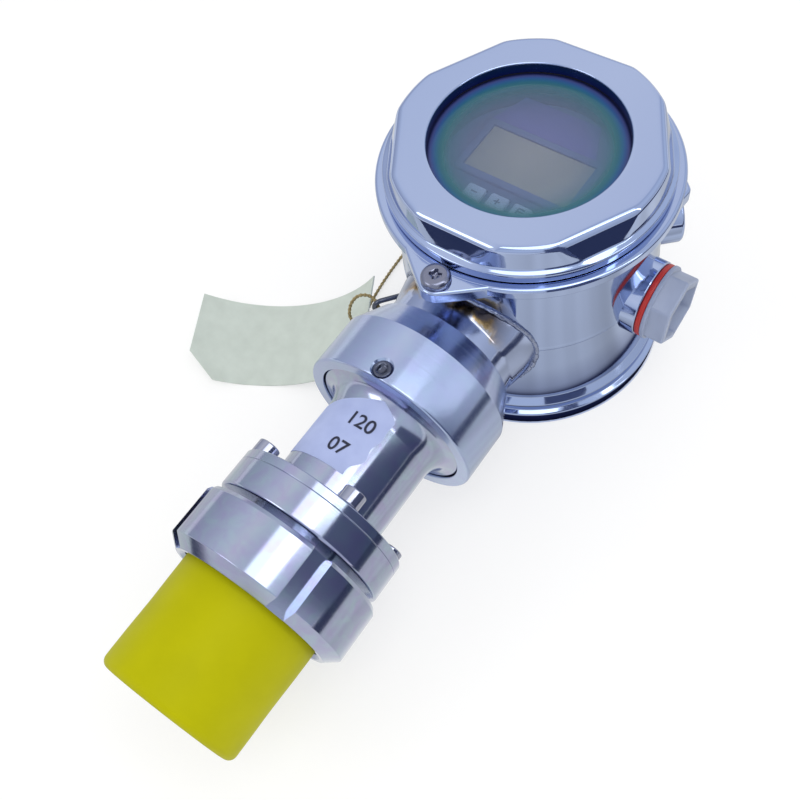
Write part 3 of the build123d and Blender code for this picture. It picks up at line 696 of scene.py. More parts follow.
def frame_at(origin: Place, along: Place, across: Place) -> Matrix:
    """Makes the matrix of a local frame, in metres.

    Args:
        origin: The frame's origin in millimetres.
        along: Direction of its Z.
        across: Direction of its X, at right angles to Z.

    Returns:
        Matrix from the local frame to the object's frame.
    """
    forward, side = Vector(along).normalized(), Vector(across).normalized()
    axes = Matrix((side, forward.cross(side), forward)).transposed().to_4x4()
    return Matrix.Translation(Vector(origin) * MM) @ axes


UPRIGHT = Matrix.Identity(4)
NECK_LINE = frame_at((0, 0, NECK_HEIGHT), (0, -1, 0), (1, 0, 0))


def outward(angle: float, height: float) -> Matrix:
    """Makes the frame whose Z leaves the housing's axis at an angle in plan.

    Args:
        angle: Angle from +X, in degrees.
        height: Height of the origin in millimetres.

    Returns:
        The frame's matrix.
    """
    turn = math.radians(angle)
    return frame_at((0, 0, height), (math.cos(turn), math.sin(turn), 0), (-math.sin(turn), math.cos(turn), 0))


def pick(piece: Piece) -> None:
    """Selects one object alone and makes it active.

    Args:
        piece: The object.
    """
    bpy.ops.object.select_all(action="DESELECT")
    piece.select_set(True)
    bpy.context.view_layer.objects.active = piece


def add_piece(name: str, operator: Callable[..., object], **settings: object) -> Piece:
    """Adds one new object with nothing else selected.

    Args:
        name: Name of the object and of its data.
        operator: Operator that adds it.
        **settings: The operator's settings.

    Returns:
        The new object.
    """
    bpy.ops.object.select_all(action="DESELECT")
    operator(**settings)
    piece = bpy.context.object
    piece.name = piece.data.name = name
    return piece


@contextmanager
def editing(piece: Piece) -> Iterator[None]:
    """Opens a piece in edit mode with all of it selected, and closes it again.

    Args:
        piece: The piece.

    Yields:
        Nothing; the piece is open inside the with block.
    """
    pick(piece)
    bpy.ops.object.mode_set(mode="EDIT")
    bpy.ops.mesh.select_all(action="SELECT")
    yield
    bpy.ops.object.mode_set(mode="OBJECT")


def modify(piece: Piece, kind: str, **settings: object) -> None:
    """Adds one modifier and applies it.

    Args:
        piece: Object that gets it.
        kind: Blender's name for the modifier type.
        **settings: Its properties by name.
    """
    pick(piece)
    modifier = piece.modifiers.new(kind.lower(), kind)
    for key, value in settings.items():
        setattr(modifier, key, value)
    bpy.ops.object.modifier_apply(modifier=modifier.name)


def rounded(corners: Sequence[Corner], steps: int = 6) -> list[Flat]:
    """Rounds the corners of a closed outline.

    Args:
        corners: Place of each corner in two directions, and its rounding radius or 0.
        steps: Segments in each arc.

    Returns:
        Points round the outline, closed by a copy of the first.
    """
    points: list[Flat] = []
    for number, (x, y, radius) in enumerate(corners):
        corner = Vector((x, y))
        if not radius:
            points.append((x, y))
            continue
        back = (Vector(corners[number - 1][:2]) - corner).normalized()
        ahead = (Vector(corners[(number + 1) % len(corners)][:2]) - corner).normalized()
        half = back.angle(ahead) / 2
        centre = corner + (back + ahead).normalized() * radius / math.sin(half)
        start = corner + back * radius / math.tan(half) - centre
        end = corner + ahead * radius / math.tan(half) - centre
        first = math.atan2(start.y, start.x)
        sweep = (math.atan2(end.y, end.x) - first + math.pi) % math.tau - math.pi
        for step in range(steps + 1):
            angle = first + sweep * step / steps
            points.append((centre.x + radius * math.cos(angle), centre.y + radius * math.sin(angle)))
    return [*points, points[0]]


def divided(points: Sequence[Flat], longest: float) -> list[Flat]:
    """Adds points along an outline, so that no run is longer than a limit.

    Args:
        points: The outline's points.
        longest: Longest run in millimetres.

    Returns:
        The denser outline.
    """
    dense = [points[0]]
    for before, after in zip(points, points[1:]):
        parts = max(1, math.ceil(math.dist(before, after) / longest))
        dense += [
            tuple(a + (b - a) * part / parts for a, b in zip(before, after)) for part in range(1, parts + 1)
        ]
    return dense


def chain(name: str, places: Sequence[Place]) -> Piece:
    """Draws a chain of edges, one vertex extruded after the other.

    Args:
        name: Name of the new piece.
        places: Where the chain goes, in millimetres.

    Returns:
        The new piece.
    """
    piece = add_piece(name, bpy.ops.mesh.primitive_plane_add, size=MM)
    spots = [Vector(place) * MM for place in places]
    with editing(piece):
        bpy.ops.mesh.merge(type="CENTER")
        bpy.ops.transform.translate(value=spots[0])
        for before, after in zip(spots, spots[1:]):
            bpy.ops.mesh.extrude_region_move(TRANSFORM_OT_translate={"value": after - before})
    return piece


def turned(name: str, outline: Sequence[Flat], steps: int = 256, sweep: float = 360.0) -> Piece:
    """Spins an outline about the local Z axis.

    Args:
        name: Name of the new piece.
        outline: (radius, height) points in millimetres.
        steps: Segments round the axis.
        sweep: Angle of the spin in degrees.

    Returns:
        The new piece.
    """
    piece = chain(name, [(radius, 0, height) for radius, height in outline])
    with editing(piece):
        bpy.ops.mesh.spin(steps=steps, angle=math.radians(sweep), center=(0, 0, 0), axis=(0, 0, 1))
        bpy.ops.mesh.select_all(action="SELECT")
        bpy.ops.mesh.remove_doubles(threshold=0.001 * MM)
        bpy.ops.mesh.normals_make_consistent(inside=False)
    return piece


def plate(name: str, outline: Sequence[Flat], low: float, high: float, edge: float) -> Piece:
    """Raises a flat outline to a plate with rounded edges.

    Args:
        name: Name of the new piece.
        outline: (x, y) points in millimetres, not closed.
        low: Height of its underside.
        high: Height of its top.
        edge: Rounding of its edges.

    Returns:
        The new piece.
    """
    piece = chain(name, [(x, y, low) for x, y in outline])
    with editing(piece):
        bpy.ops.mesh.edge_face_add()
        bpy.ops.mesh.extrude_region_move(TRANSFORM_OT_translate={"value": (0, 0, (high - low) * MM)})
        bpy.ops.mesh.select_all(action="SELECT")
        bpy.ops.mesh.normals_make_consistent(inside=False)
    modify(piece, "BEVEL", width=edge * MM, segments=4, limit_method="ANGLE", angle_limit=math.radians(40))
    return piece


def dress(piece: Piece, finish: Finish) -> None:
    """Gives a piece one finish all over."""
    piece.data.materials.clear()
    piece.data.materials.append(finish.material())


def settle(
    piece: Piece,
    finish: Finish,
    body: Body,
    replaced: Sequence[str] = (),
    place: Matrix = UPRIGHT,
    smooth: float = 32.0,
) -> Piece:
    """Puts a modelled piece in its place, with its finish, its smooth shading and its body.

    Args:
        piece: The piece, modelled in its local frame.
        finish: Its finish.
        body: Body that it moves with.
        replaced: CAD nodes that it stands for.
        place: Frame that it was modelled in.
        smooth: Edges sharper than this angle stay sharp.

    Returns:
        The piece.
    """
    piece.matrix_world = place @ piece.matrix_world
    pick(piece)
    bpy.ops.object.transform_apply(location=True, rotation=True, scale=True)
    bpy.ops.object.shade_smooth_by_angle(angle=math.radians(smooth))
    modify(piece, "WEIGHTED_NORMAL", keep_sharp=True)
    dress(piece, finish)
    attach(piece, body.value)
    if replaced:
        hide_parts(*replaced)
    return piece


def smooth_copy(node: Piece, finish: Finish, body: Body) -> Piece:
    """Makes a merged, smoothly shaded copy of a CAD node and lets it stand for the node.

    Args:
        node: The CAD node.
        finish: Finish of the copy.
        body: Body of the node.

    Returns:
        The copy.
    """
    pick(node)
    bpy.ops.object.duplicate()
    piece = bpy.context.object
    place = node.matrix_world.copy()
    piece.parent = None
    piece.matrix_world = place
    for key in [key for key in piece.keys() if key.startswith("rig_")]:
        del piece[key]
    piece.name = f"{node.name}_smooth"
    with editing(piece):
        bpy.ops.mesh.remove_doubles(threshold=WELD_POINTS)
        bpy.ops.mesh.normals_make_consistent(inside=False)
    return settle(piece, finish, body, [node.name])


@dataclass
class Housing:
    """The welded can: wall with its rings, neck stub, weld, bosses and lugs."""

    wall_r: float = 43.7
    bore_r: float = 41.2
    bore_floor: float = 5.0
    ring_r: float = 48.3
    ring_foot_r: float = 47.1
    top: float = 82.5
    back_ring_r: float = 47.7
    back_waist_r: float = 45.9
    seam_height: float = 44.0
    seam_rise: float = 0.22
    stub_r: float = 23.3
    stub_bore_r: float = 19.5
    stub_end: float = 63.5
    root_r: float = 25.0
    bead_r: float = 0.8
    lug_depth: float = 5.2
    lug_edge: float = 0.9
    lug_sunk: float = 1.6
    lug_overlap: float = 6.0

    def build(self) -> None:
        """Builds all parts of the can."""
        self.can()
        self.stub()
        self.weld()
        self.bosses()
        self.lug("front_lug", angle=-90.0, reach=50.6, tip_r=5.6, half=18.5, top=self.top - 0.03)
        self.lug("rear_lug", angle=21.0, reach=47.1, tip_r=2.6, half=9.0, top=self.top - 2.6)

    def can(self) -> None:
        """Turns the wall, the rolled back ring, the top ring and the wall's weld seam."""
        seam = [(self.wall_r, self.seam_height + rise, 0.0) for rise in (-1.1, 1.1)]
        corners = [
            (0, 0, 0),
            (self.back_ring_r - 0.6, 0, 0),
            (self.back_ring_r, 0.9, 0),
            (self.back_ring_r, 6.6, 0.8),
            (self.back_waist_r, 7.5, 0.4),
            (self.back_waist_r, 10.2, 0.8),
            (self.wall_r, 12.4, 0.6),
            seam[0],
            (self.wall_r + self.seam_rise, self.seam_height - 0.5, 0.3),
            (self.wall_r + self.seam_rise, self.seam_height + 0.5, 0.3),
            seam[1],
            (self.wall_r, 77.2, 0.5),
            (self.ring_foot_r, 78.0, 0.5),
            (self.ring_r, 78.8, 0.8),
            (self.ring_r, self.top, 1.2),
            (self.bore_r, self.top, 0),
            (self.bore_r, self.bore_floor, 0),
            (0, self.bore_floor, 0),
        ]
        can = turned("housing_can", divided(rounded(corners), 6.0), 320)
        settle(can, POLISHED, Body.ROOT, ["housing_shell"])

    def stub(self) -> None:
        """Turns the neck's stub, drawn wider at its weld."""
        corners = [
            (self.stub_bore_r, 30.0, 0),
            (self.root_r + 0.4, 30.0, 0),
            (self.root_r, 40.0, 0),
            (self.stub_r, 48.0, 6.0),
            (self.stub_r, self.stub_end, 0.5),
            (self.stub_bore_r, self.stub_end, 0),
        ]
        stub = turned("neck_stub", divided(rounded(corners), 3.0), 192)
        settle(stub, PIPE, Body.ROOT, ["housing_shell"], NECK_LINE)

    def weld(self) -> None:
        """Lays the rippled bead along the saddle where the stub meets the can."""
        saddle_r, ripples = self.root_r + 0.3, 110
        bead = add_piece(
            "neck_weld_bead",
            bpy.ops.mesh.primitive_torus_add,
            major_radius=saddle_r * MM,
            minor_radius=self.bead_r * MM,
            major_segments=420,
            minor_segments=12,
        )
        for vertex in bead.data.vertices:
            x, y, z = vertex.co / MM
            turn = math.atan2(y, x)
            ripple = 1 + 0.05 * math.sin(turn * ripples) + 0.5 * noise.noise((x * 0.5, y * 0.5, 3))
            centre_x, centre_y = saddle_r * math.cos(turn), saddle_r * math.sin(turn)
            out_x, out_y = (x - centre_x) * ripple, (y - centre_y) * ripple
            reach = math.sqrt(self.wall_r**2 - centre_x**2) + 0.2
            vertex.co = Vector((centre_x + out_x, centre_y + out_y, reach + z * ripple)) * MM
        settle(bead, WELD, Body.ROOT, place=NECK_LINE, smooth=60)

    def bosses(self) -> None:
        """Turns the cable entry's boss and the vent's boss."""
        for name, bore, outer, end, edge, angle, height in (
            ("cable_entry_boss", 9.9, 12.9, 47.2, 0.5, 0, 44.7),
            ("vent_boss", 6.0, 10.5, 50.5, 1.2, 42, 48),
        ):
            corners = [(bore, 38, 0), (outer, 38, 0), (outer, end, edge), (bore, end, 0.3)]
            settle(turned(name, rounded(corners), 128), POLISHED, Body.ROOT, place=outward(angle, height))

    def lug(self, name: str, angle: float, reach: float, tip_r: float, half: float, top: float) -> None:
        """Adds a lug drawn in to the top ring by its two tangents.

        Args:
            name: Name of the piece.
            angle: Direction of the lug in plan, in degrees.
            reach: Distance of its tip's centre from the axis.
            tip_r: Radius of the tip.
            half: Half its width at the ring.
            top: Height of its upper face.
        """
        root = math.sqrt(self.ring_r**2 - half**2) - self.lug_sunk
        span = math.hypot(reach - root, half)
        lean = math.degrees(math.atan2(half, -(reach - root))) - math.degrees(math.acos(tip_r / span))
        arc = [math.radians(lean * (1 - step / 12)) for step in range(25)]
        tip = [(reach + tip_r * math.cos(turn), tip_r * math.sin(turn)) for turn in arc]
        inside = root - self.lug_overlap
        outline = [(inside, half), (root, half), *tip, (root, -half), (inside, -half)]
        lug = plate(name, outline, top - self.lug_depth, top, self.lug_edge)
        settle(lug, POLISHED, Body.ROOT, place=Matrix.Rotation(math.radians(angle), 4, "Z"))


@dataclass
class Lid:
    """The screw lid, turned and then flattened by six grip facets."""

    seat: float = 83.0
    top: float = 95.0
    bore_r: float = 30.9
    lip_depth: float = 0.6
    crown_top_r: float = 43.0
    crown_foot_r: float = 43.9
    foot_height: float = 87.1
    brim_r: float = 45.5
    brim_top: float = 86.2
    skirt_r: float = 40.9
    skirt_end: float = 75.0
    pane_r: float = 35.0
    pane_top: float = 91.2
    facets: int = 6
    facet_r: float = 40.6
    facet_lean: float = 19.2
    facet_turn: float = 31.0
    facet_inner_r: float = 33.0
    inner_fade: float = 5.0
    foot_fade: float = 0.9
    softness: float = 0.5

    def build(self) -> None:
        """Turns the lid and presses its facets in."""
        corners = [
            (self.bore_r, self.top, 0.5),
            (self.crown_top_r, self.top, 2.2),
            (self.crown_foot_r, self.foot_height, 0.9),
            (self.brim_r, self.brim_top, 0.7),
            (self.brim_r, self.seat, 0.4),
            (self.skirt_r, self.seat, 0),
            (self.skirt_r, self.skirt_end, 0.8),
            (self.pane_r, self.skirt_end, 0),
            (self.pane_r, self.pane_top, 0),
            (self.bore_r, self.pane_top, 0),
        ]
        lid = turned("lid_crown", divided(rounded(corners, 8), 0.9), 420)
        for vertex in lid.data.vertices:
            radius = math.hypot(vertex.co.x, vertex.co.y) / MM
            height = vertex.co.z / MM
            pull = self.pull(math.degrees(math.atan2(vertex.co.y, vertex.co.x)), radius, height)
            vertex.co.x *= 1 - pull / radius
            vertex.co.y *= 1 - pull / radius
        settle(lid, POLISHED, Body.LID, ["lid_shell"], smooth=50)
        # Painted shade: the faces inside the bore, below its top edge, take the dark navy steel.
        lid.data.materials.append(SHADED_LIP_STEEL.material())
        for face in lid.data.polygons:
            middle = face.center / MM
            if math.hypot(middle.x, middle.y) < self.bore_r + 0.3 and middle.z < self.top - self.lip_depth:
                face.material_index = 1

    def pull(self, angle: float, radius: float, height: float) -> float:
        """Tells how far the facets draw a point of the turned crown towards the axis.

        Args:
            angle: The point's direction in plan, in degrees.
            radius: Its distance from the axis.
            height: Its height.

        Returns:
            Distance in millimetres.
        """
        if height < self.brim_top or radius < self.facet_inner_r:
            return 0.0
        rise = (self.top - height) / (self.top - self.foot_height)
        crown = self.crown_top_r + (self.crown_foot_r - self.crown_top_r) * rise
        apart = 360 / self.facets
        off = (angle - self.facet_turn + apart / 2) % apart - apart / 2
        flat = self.facet_r + (self.top - height) * math.tan(math.radians(self.facet_lean))
        flat /= math.cos(math.radians(off))
        near = max(self.softness - abs(crown - flat), 0) / self.softness
        limit = min(crown, flat) - near**2 * self.softness / 4
        inner = min(1.0, max(0.0, (radius - self.facet_inner_r) / self.inner_fade))
        lower = min(1.0, max(0.0, (height - self.brim_top) / self.foot_fade))
        return (crown - limit) * inner**2 * (3 - 2 * inner) * lower**2 * (3 - 2 * lower)


@dataclass
class Window:
    """The coated glass in the lid."""

    def build(self) -> None:
        """Turns the pane."""
        pane = [(0, 84.4, 0), (34.7, 84.4, 0.4), (34.7, 90.4, 0.4), (0, 90.4, 0)]
        settle(turned("window_pane", rounded(pane, 3), 192), GLASS, Body.WINDOW, ["window_glass"])


@dataclass
class Neck:
    """The swivel collar, the neck, the bolted discs, the slotted nut and the cap."""

    shank_r: float = 20.92
    bell_start: float = 82.6
    bell_end: float = 90.6
    bell_r: float = 24.4
    tube_r: float = 18.8
    collar_r: float = 30.5
    collar_end: float = 83.4
    set_screw_at: float = 79.9
    disc_r: float = 29.05
    disc_start: float = 118.0
    disc_seam: float = 121.2
    disc_end: float = 131.0
    nut_r: float = 31.3
    slots: int = 4
    slot_turn: float = -37.2
    slot_size: Place = (6.6, 10.0, 40.0)
    slot_centre: Place = (0.0, 32.0, 143.0)
    cap_end: float = 191.0
    cap_mouth: float = 146.2

    def build(self) -> None:
        """Builds the whole stack along the neck's axis."""
        self.collar()
        self.body()
        self.adapter()
        self.nut()
        self.cap()

    def bell(self, at: float) -> float:
        """Works out the radius of the bell and tube.

        Args:
            at: Distance along the neck.

        Returns:
            The radius in millimetres.
        """
        if at >= self.bell_end:
            return self.tube_r
        part = (self.bell_end - max(at, self.bell_start)) / (self.bell_end - self.bell_start)
        return self.bell_r - (self.bell_r - self.tube_r) * math.sqrt(max(0.0, 1 - part**2))

    def collar(self) -> None:
        """Turns the collar and sinks the countersunk hole of its set screw."""
        corners = [
            (23.5, 54.0, 0),
            (25.5, 54.0, 0.5),
            (self.collar_r, 64.3, 0.5),
            (self.collar_r, self.collar_end, 0.9),
            (26.1, self.collar_end, 0.3),
            (26.1, 77.0, 0),
            (21.0, 77.0, 0),
            (21.0, 69.0, 0),
            (23.5, 69.0, 0),
        ]
        collar = turned("swivel_collar", rounded(corners), 256)
        hole = [(0, 20, 0), (2.85, 20, 0), (2.85, 29.6, 0), (3.9, 30.65, 0), (3.9, 33, 0), (0, 33, 0)]
        cutter = turned("set_screw_cutter", rounded(hole), 64)
        self.cut(collar, cutter, frame_at((0, 0, self.set_screw_at), (0, 1, 0), (1, 0, 0)))
        settle(collar, COLLAR_SATIN, Body.ROOT, ["collar_ring"], NECK_LINE)

    def cut(self, piece: Piece, cutter: Piece, place: Matrix) -> None:
        """Cuts a piece with a cutter that is then removed.

        Args:
            piece: The piece.
            cutter: The cutting shape in its own frame.
            place: Its place in the piece's frame.
        """
        cutter.matrix_world = place @ cutter.matrix_world
        bpy.context.view_layer.update()
        modify(piece, "BOOLEAN", operation="DIFFERENCE", object=cutter, solver="EXACT")
        pick(cutter)
        bpy.ops.object.delete()

    def body(self) -> None:
        """Turns the shank, flange, bell, tube and upper disc in one piece."""
        bell = [self.bell_start + step * 0.4 for step in range(1, 20)]
        corners = [
            (16.0, 65.6, 0),
            (self.shank_r, 65.6, 0.3),
            (self.shank_r, 77.3, 0),
            (25.7, 77.3, 0),
            (25.7, self.bell_start, 0.35),
            (self.bell_r, self.bell_start, 0),
            *[(self.bell(at), at, 0) for at in bell],
            (self.tube_r, self.bell_end, 0),
            (self.tube_r, self.disc_start, 0.4),
            (self.disc_r, self.disc_start, 0.45),
            (self.disc_r, self.disc_seam, 0.25),
            (16.0, self.disc_seam, 0),
        ]
        settle(turned("neck_turning", rounded(corners), 256), TURNED, Body.NECK, ["neck_body"], NECK_LINE)

    def adapter(self) -> None:
        """Turns the lower disc with its conical liner."""
        corners = [
            (14.0, self.disc_seam, 0),
            (self.disc_r, self.disc_seam, 0.25),
            (self.disc_r, self.disc_end, 1.0),
            (17.5, self.disc_end, 0),
            (17.5, 139.2, 0),
            (21.9, 139.2, 0.4),
            (21.9, 145.5, 0.6),
            (19.2, 151.5, 0.4),
            (15.0, 151.5, 0),
            (15.0, 150.3, 0),
            (3.0, 150.3, 0),
            (3.0, 146.0, 0),
            (14.0, 146.0, 0),
        ]
        adapter = turned("adapter_turning", rounded(corners), 256)
        settle(adapter, TURNED, Body.NECK, ["process_adapter"], NECK_LINE)

    def nut(self) -> None:
        """Turns the union nut and mills its four slots."""
        corners = [
            (17.8, 133.4, 0),
            (30.4, 133.4, 0.4),
            (self.nut_r, 134.8, 0.5),
            (self.nut_r, 150.6, 0.5),
            (27.2, 153.9, 0.4),
            (25.8, 153.9, 0),
            (24.9, 152.7, 0),
            (24.9, 138.2, 0),
            (17.8, 138.2, 0),
        ]
        nut = turned("slotted_nut", rounded(corners, 4), 240)
        size = Matrix.Diagonal((*[side * MM for side in self.slot_size], 1))
        for number in range(self.slots):
            cutter = add_piece("slot_cutter", bpy.ops.mesh.primitive_cube_add, size=1)
            cutter.matrix_world = Matrix.Translation([value * MM for value in self.slot_centre]) @ size
            turn = math.radians(self.slot_turn - number * 360 / self.slots)
            self.cut(nut, cutter, Matrix.Rotation(turn, 4, "Z"))
        with editing(nut):
            bpy.ops.mesh.remove_doubles(threshold=WELD_POINTS)
        modify(nut, "BEVEL", width=0.22 * MM, segments=2, limit_method="ANGLE", angle_limit=math.radians(42))
        settle(nut, TURNED, Body.NUT, ["union_nut"], NECK_LINE)

    def cap(self) -> None:
        """Turns the dipped cap, slightly slumped as thin vinyl is."""
        corners = [
            (0, self.cap_end, 0),
            (23.2, self.cap_end, 2.6),
            (23.8, self.cap_mouth, 0.5),
            (22.2, self.cap_mouth, 0.5),
            (21.6, 189.4, 1.6),
            (0, 189.4, 0),
        ]
        cap = turned("vinyl_cap", divided(rounded(corners), 2.5), 160)
        for vertex in cap.data.vertices:
            radius = math.hypot(vertex.co.x, vertex.co.y)
            if radius <= 15 * MM:
                continue
            slump = noise.noise(vertex.co / (26 * MM)) * 0.22
            dents = noise.noise(vertex.co / (8 * MM)) * 0.06
            grow = 1 + (slump + dents) * MM / radius
            vertex.co.x *= grow
            vertex.co.y *= grow
        settle(cap, CAP_VINYL, Body.CAP, ["protective_cap"], NECK_LINE, smooth=60)


@dataclass
class Label:
    """Torn paper label round the neck's tube, with plain numbers."""

    neck: Neck
    first: float = 84.7
    last: float = 110.0
    left: float = -64.0
    right: float = 27.0
    peak: float = 8.0
    lift: float = 0.12
    thickness: float = 0.1
    digit_height: float = 4.6
    ink_lift: float = 0.14

    def build(self) -> None:
        """Wraps the label and prints its numbers."""
        rows = [self.first + (self.last - self.first) * step / 40 for step in range(41)]
        label = turned("neck_label", [(self.neck.bell(at) + self.lift, at) for at in rows], 90, 90.0)
        for vertex in label.data.vertices:
            at = vertex.co.z / MM
            share = abs(math.degrees(math.atan2(vertex.co.y, vertex.co.x))) / 90
            angle = self.left + (self.edge(at) - self.left) * (1 - share)
            slope = 0.1 if angle < self.peak else 0.085
            start = self.first + slope * abs(angle - self.peak)
            at = start + (self.last - start) * (at - self.first) / (self.last - self.first)
            radius, turn = (self.neck.bell(at) + self.lift) * MM, math.radians(90 - angle)
            vertex.co = (radius * math.cos(turn), radius * math.sin(turn), at * MM)
        modify(label, "SOLIDIFY", thickness=self.thickness * MM, offset=1.0)
        settle(label, LABEL_PAPER, Body.NECK, place=NECK_LINE, smooth=50)
        self.number("label_number_long", "120", angle=1.0, at=95.6)
        self.number("label_number_short", "07", angle=-3.0, at=105.6)

    def edge(self, at: float) -> float:
        """Works out where the torn right-hand edge runs.

        Args:
            at: Distance along the neck.

        Returns:
            Its angle round the neck, from the top, in degrees.
        """
        part = (at - self.first) / (self.last - self.first)
        torn_corner = 19 * max(0.0, 1 - part * 12) ** 2
        waves = 6 * math.sin(part * 9) ** 2 * part
        worn_corner = 9 * part**6
        return self.right - torn_corner - waves - worn_corner

    def number(self, name: str, digits: str, angle: float, at: float) -> None:
        """Prints a number on the label.

        Args:
            name: Name of the piece.
            digits: The number.
            angle: Direction of its middle round the neck, from the top, in degrees.
            at: Distance of its base line along the neck.
        """
        text = add_piece(name, bpy.ops.object.text_add)
        text.data.body = digits
        text.data.align_x = "CENTER"
        text.data.size = self.digit_height * 1.4 * MM
        text.data.offset = 0.09 * MM
        bpy.ops.object.convert(target="MESH")
        ink = bpy.context.object
        ink.name = ink.data.name = name
        with editing(ink):
            bpy.ops.mesh.subdivide(number_cuts=2)
        for vertex in ink.data.vertices:
            along = at - vertex.co.y / MM
            radius = self.neck.bell(along) + self.lift + self.ink_lift
            turn = math.radians(90 - angle) - vertex.co.x / MM / radius
            vertex.co = Vector((radius * math.cos(turn), radius * math.sin(turn), along)) * MM
        settle(ink, LABEL_INK, Body.NECK, place=NECK_LINE)


@dataclass
class DisplayCover:
    """Violet moulding over the upper part of the display, above the glass of the display itself."""

    outline: tuple[Flat, ...] = ((-22.0, 13.6), (16.2, 13.6), (10.6, 26.6), (-17.2, 26.6))
    low: float = 76.72
    high: float = 77.0

    def build(self) -> None:
        """Raises the moulding."""
        settle(plate("display_cover", self.outline, self.low, self.high, 0.12), COVER_ABS, Body.ROOT)


@dataclass
class KeyMarks:
    """Raised signs on the three keys: less, more and enter."""

    top: float = 77.64
    size: float = 2.2
    stroke: float = 0.5
    relief: float = 0.12
    middle: Flat = (-1.5, -15.7)
    pitch: float = 8.4

    def build(self) -> None:
        """Adds the strokes of each sign to its key."""
        half = self.size / 2
        signs = {
            Body.KEY_LEFT: [(0, 0, self.size, self.stroke)],
            Body.KEY_MIDDLE: [(0, 0, self.size, self.stroke), (0, 0, self.stroke, self.size)],
            Body.KEY_RIGHT: [(-half, 0, self.stroke, self.size)]
            + [(0, side, self.size, self.stroke) for side in (-half, 0, half)],
        }
        for number, (body, strokes) in enumerate(signs.items()):
            centre = self.middle[0] + (number - 1) * self.pitch
            for step, (x, y, width, depth) in enumerate(strokes):
                name = f"{body.value}_mark_{step + 1}"
                mark = add_piece(name, bpy.ops.mesh.primitive_cube_add, size=MM)
                mark.scale = (width, depth, self.relief)
                mark.location = Vector((centre + x, self.middle[1] + y, self.top)) * MM
                bpy.context.view_layer.update()
                settle(mark, KEY_INK, body)


@dataclass
class Twine:
    """Two-strand jute twine from the wire eye, through the tag and along the table behind the housing."""

    diameter: float = 1.4
    pitch: float = 3.6
    points: list[Place] = field(
        default_factory=lambda: [
            (-34.82, -43.27, 30.0),
            (-39.58, -39.14, 30.0),
            (-45.6, -41.4, 30.6),
            (-47.9, -45.2, 26.8),
            (-47.56, -47.63, 19.89),
            (-42.57, -44.9, 14.56),
            (-49.6, -39.5, 6.2),
            (-55.4, -30.0, 0.75),
            (-58.0, -12.0, 0.75),
            (-58.5, 8.0, 0.75),
            (-52.0, 26.0, 0.75),
            (-41.0, 40.0, 0.75),
        ]
    )

    def section(self) -> Piece:
        """Draws the cross-section of two strands that lie side by side.

        Returns:
            The hidden curve that the twine is swept with.
        """
        section = add_piece("strand_section", bpy.ops.curve.primitive_nurbs_circle_add, radius=MM)
        spline = section.data.splines[0]
        waist, swell = 0.7, 0.3
        for number, point in enumerate(spline.points):
            turn = math.tau * number / len(spline.points)
            reach = self.diameter / 2 * (waist + swell * abs(math.cos(turn)) ** 1.5) * MM
            point.co = (reach * math.cos(turn), reach * math.sin(turn), 0, 1)
        section.hide_render = True
        return section

    def build(self, nodes: dict[str, Piece]) -> Piece:
        """Lays the twine along its route.

        Args:
            nodes: The CAD nodes by name; not used.

        Returns:
            The twine.
        """
        section = self.section()
        twine = add_piece("jute_twine", bpy.ops.curve.primitive_nurbs_path_add)
        curve = twine.data
        curve.splines.clear()
        spline = curve.splines.new("NURBS")
        spline.points.add(len(self.points) - 1)
        travelled = 0.0
        for number, (point, place) in enumerate(zip(spline.points, self.points)):
            travelled += math.dist(place, self.points[number - 1]) if number else 0.0
            point.co = (*[value * MM for value in place], 1.0)
            point.tilt = travelled / self.pitch * math.tau
        spline.order_u = 3
        spline.use_endpoint_u = True
        spline.resolution_u = 48
        curve.bevel_mode = "OBJECT"
        curve.bevel_object = section
        curve.use_fill_caps = True
        dress(twine, JUTE)
        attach(twine, Body.ROOT.value)
        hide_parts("twine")
        return twine


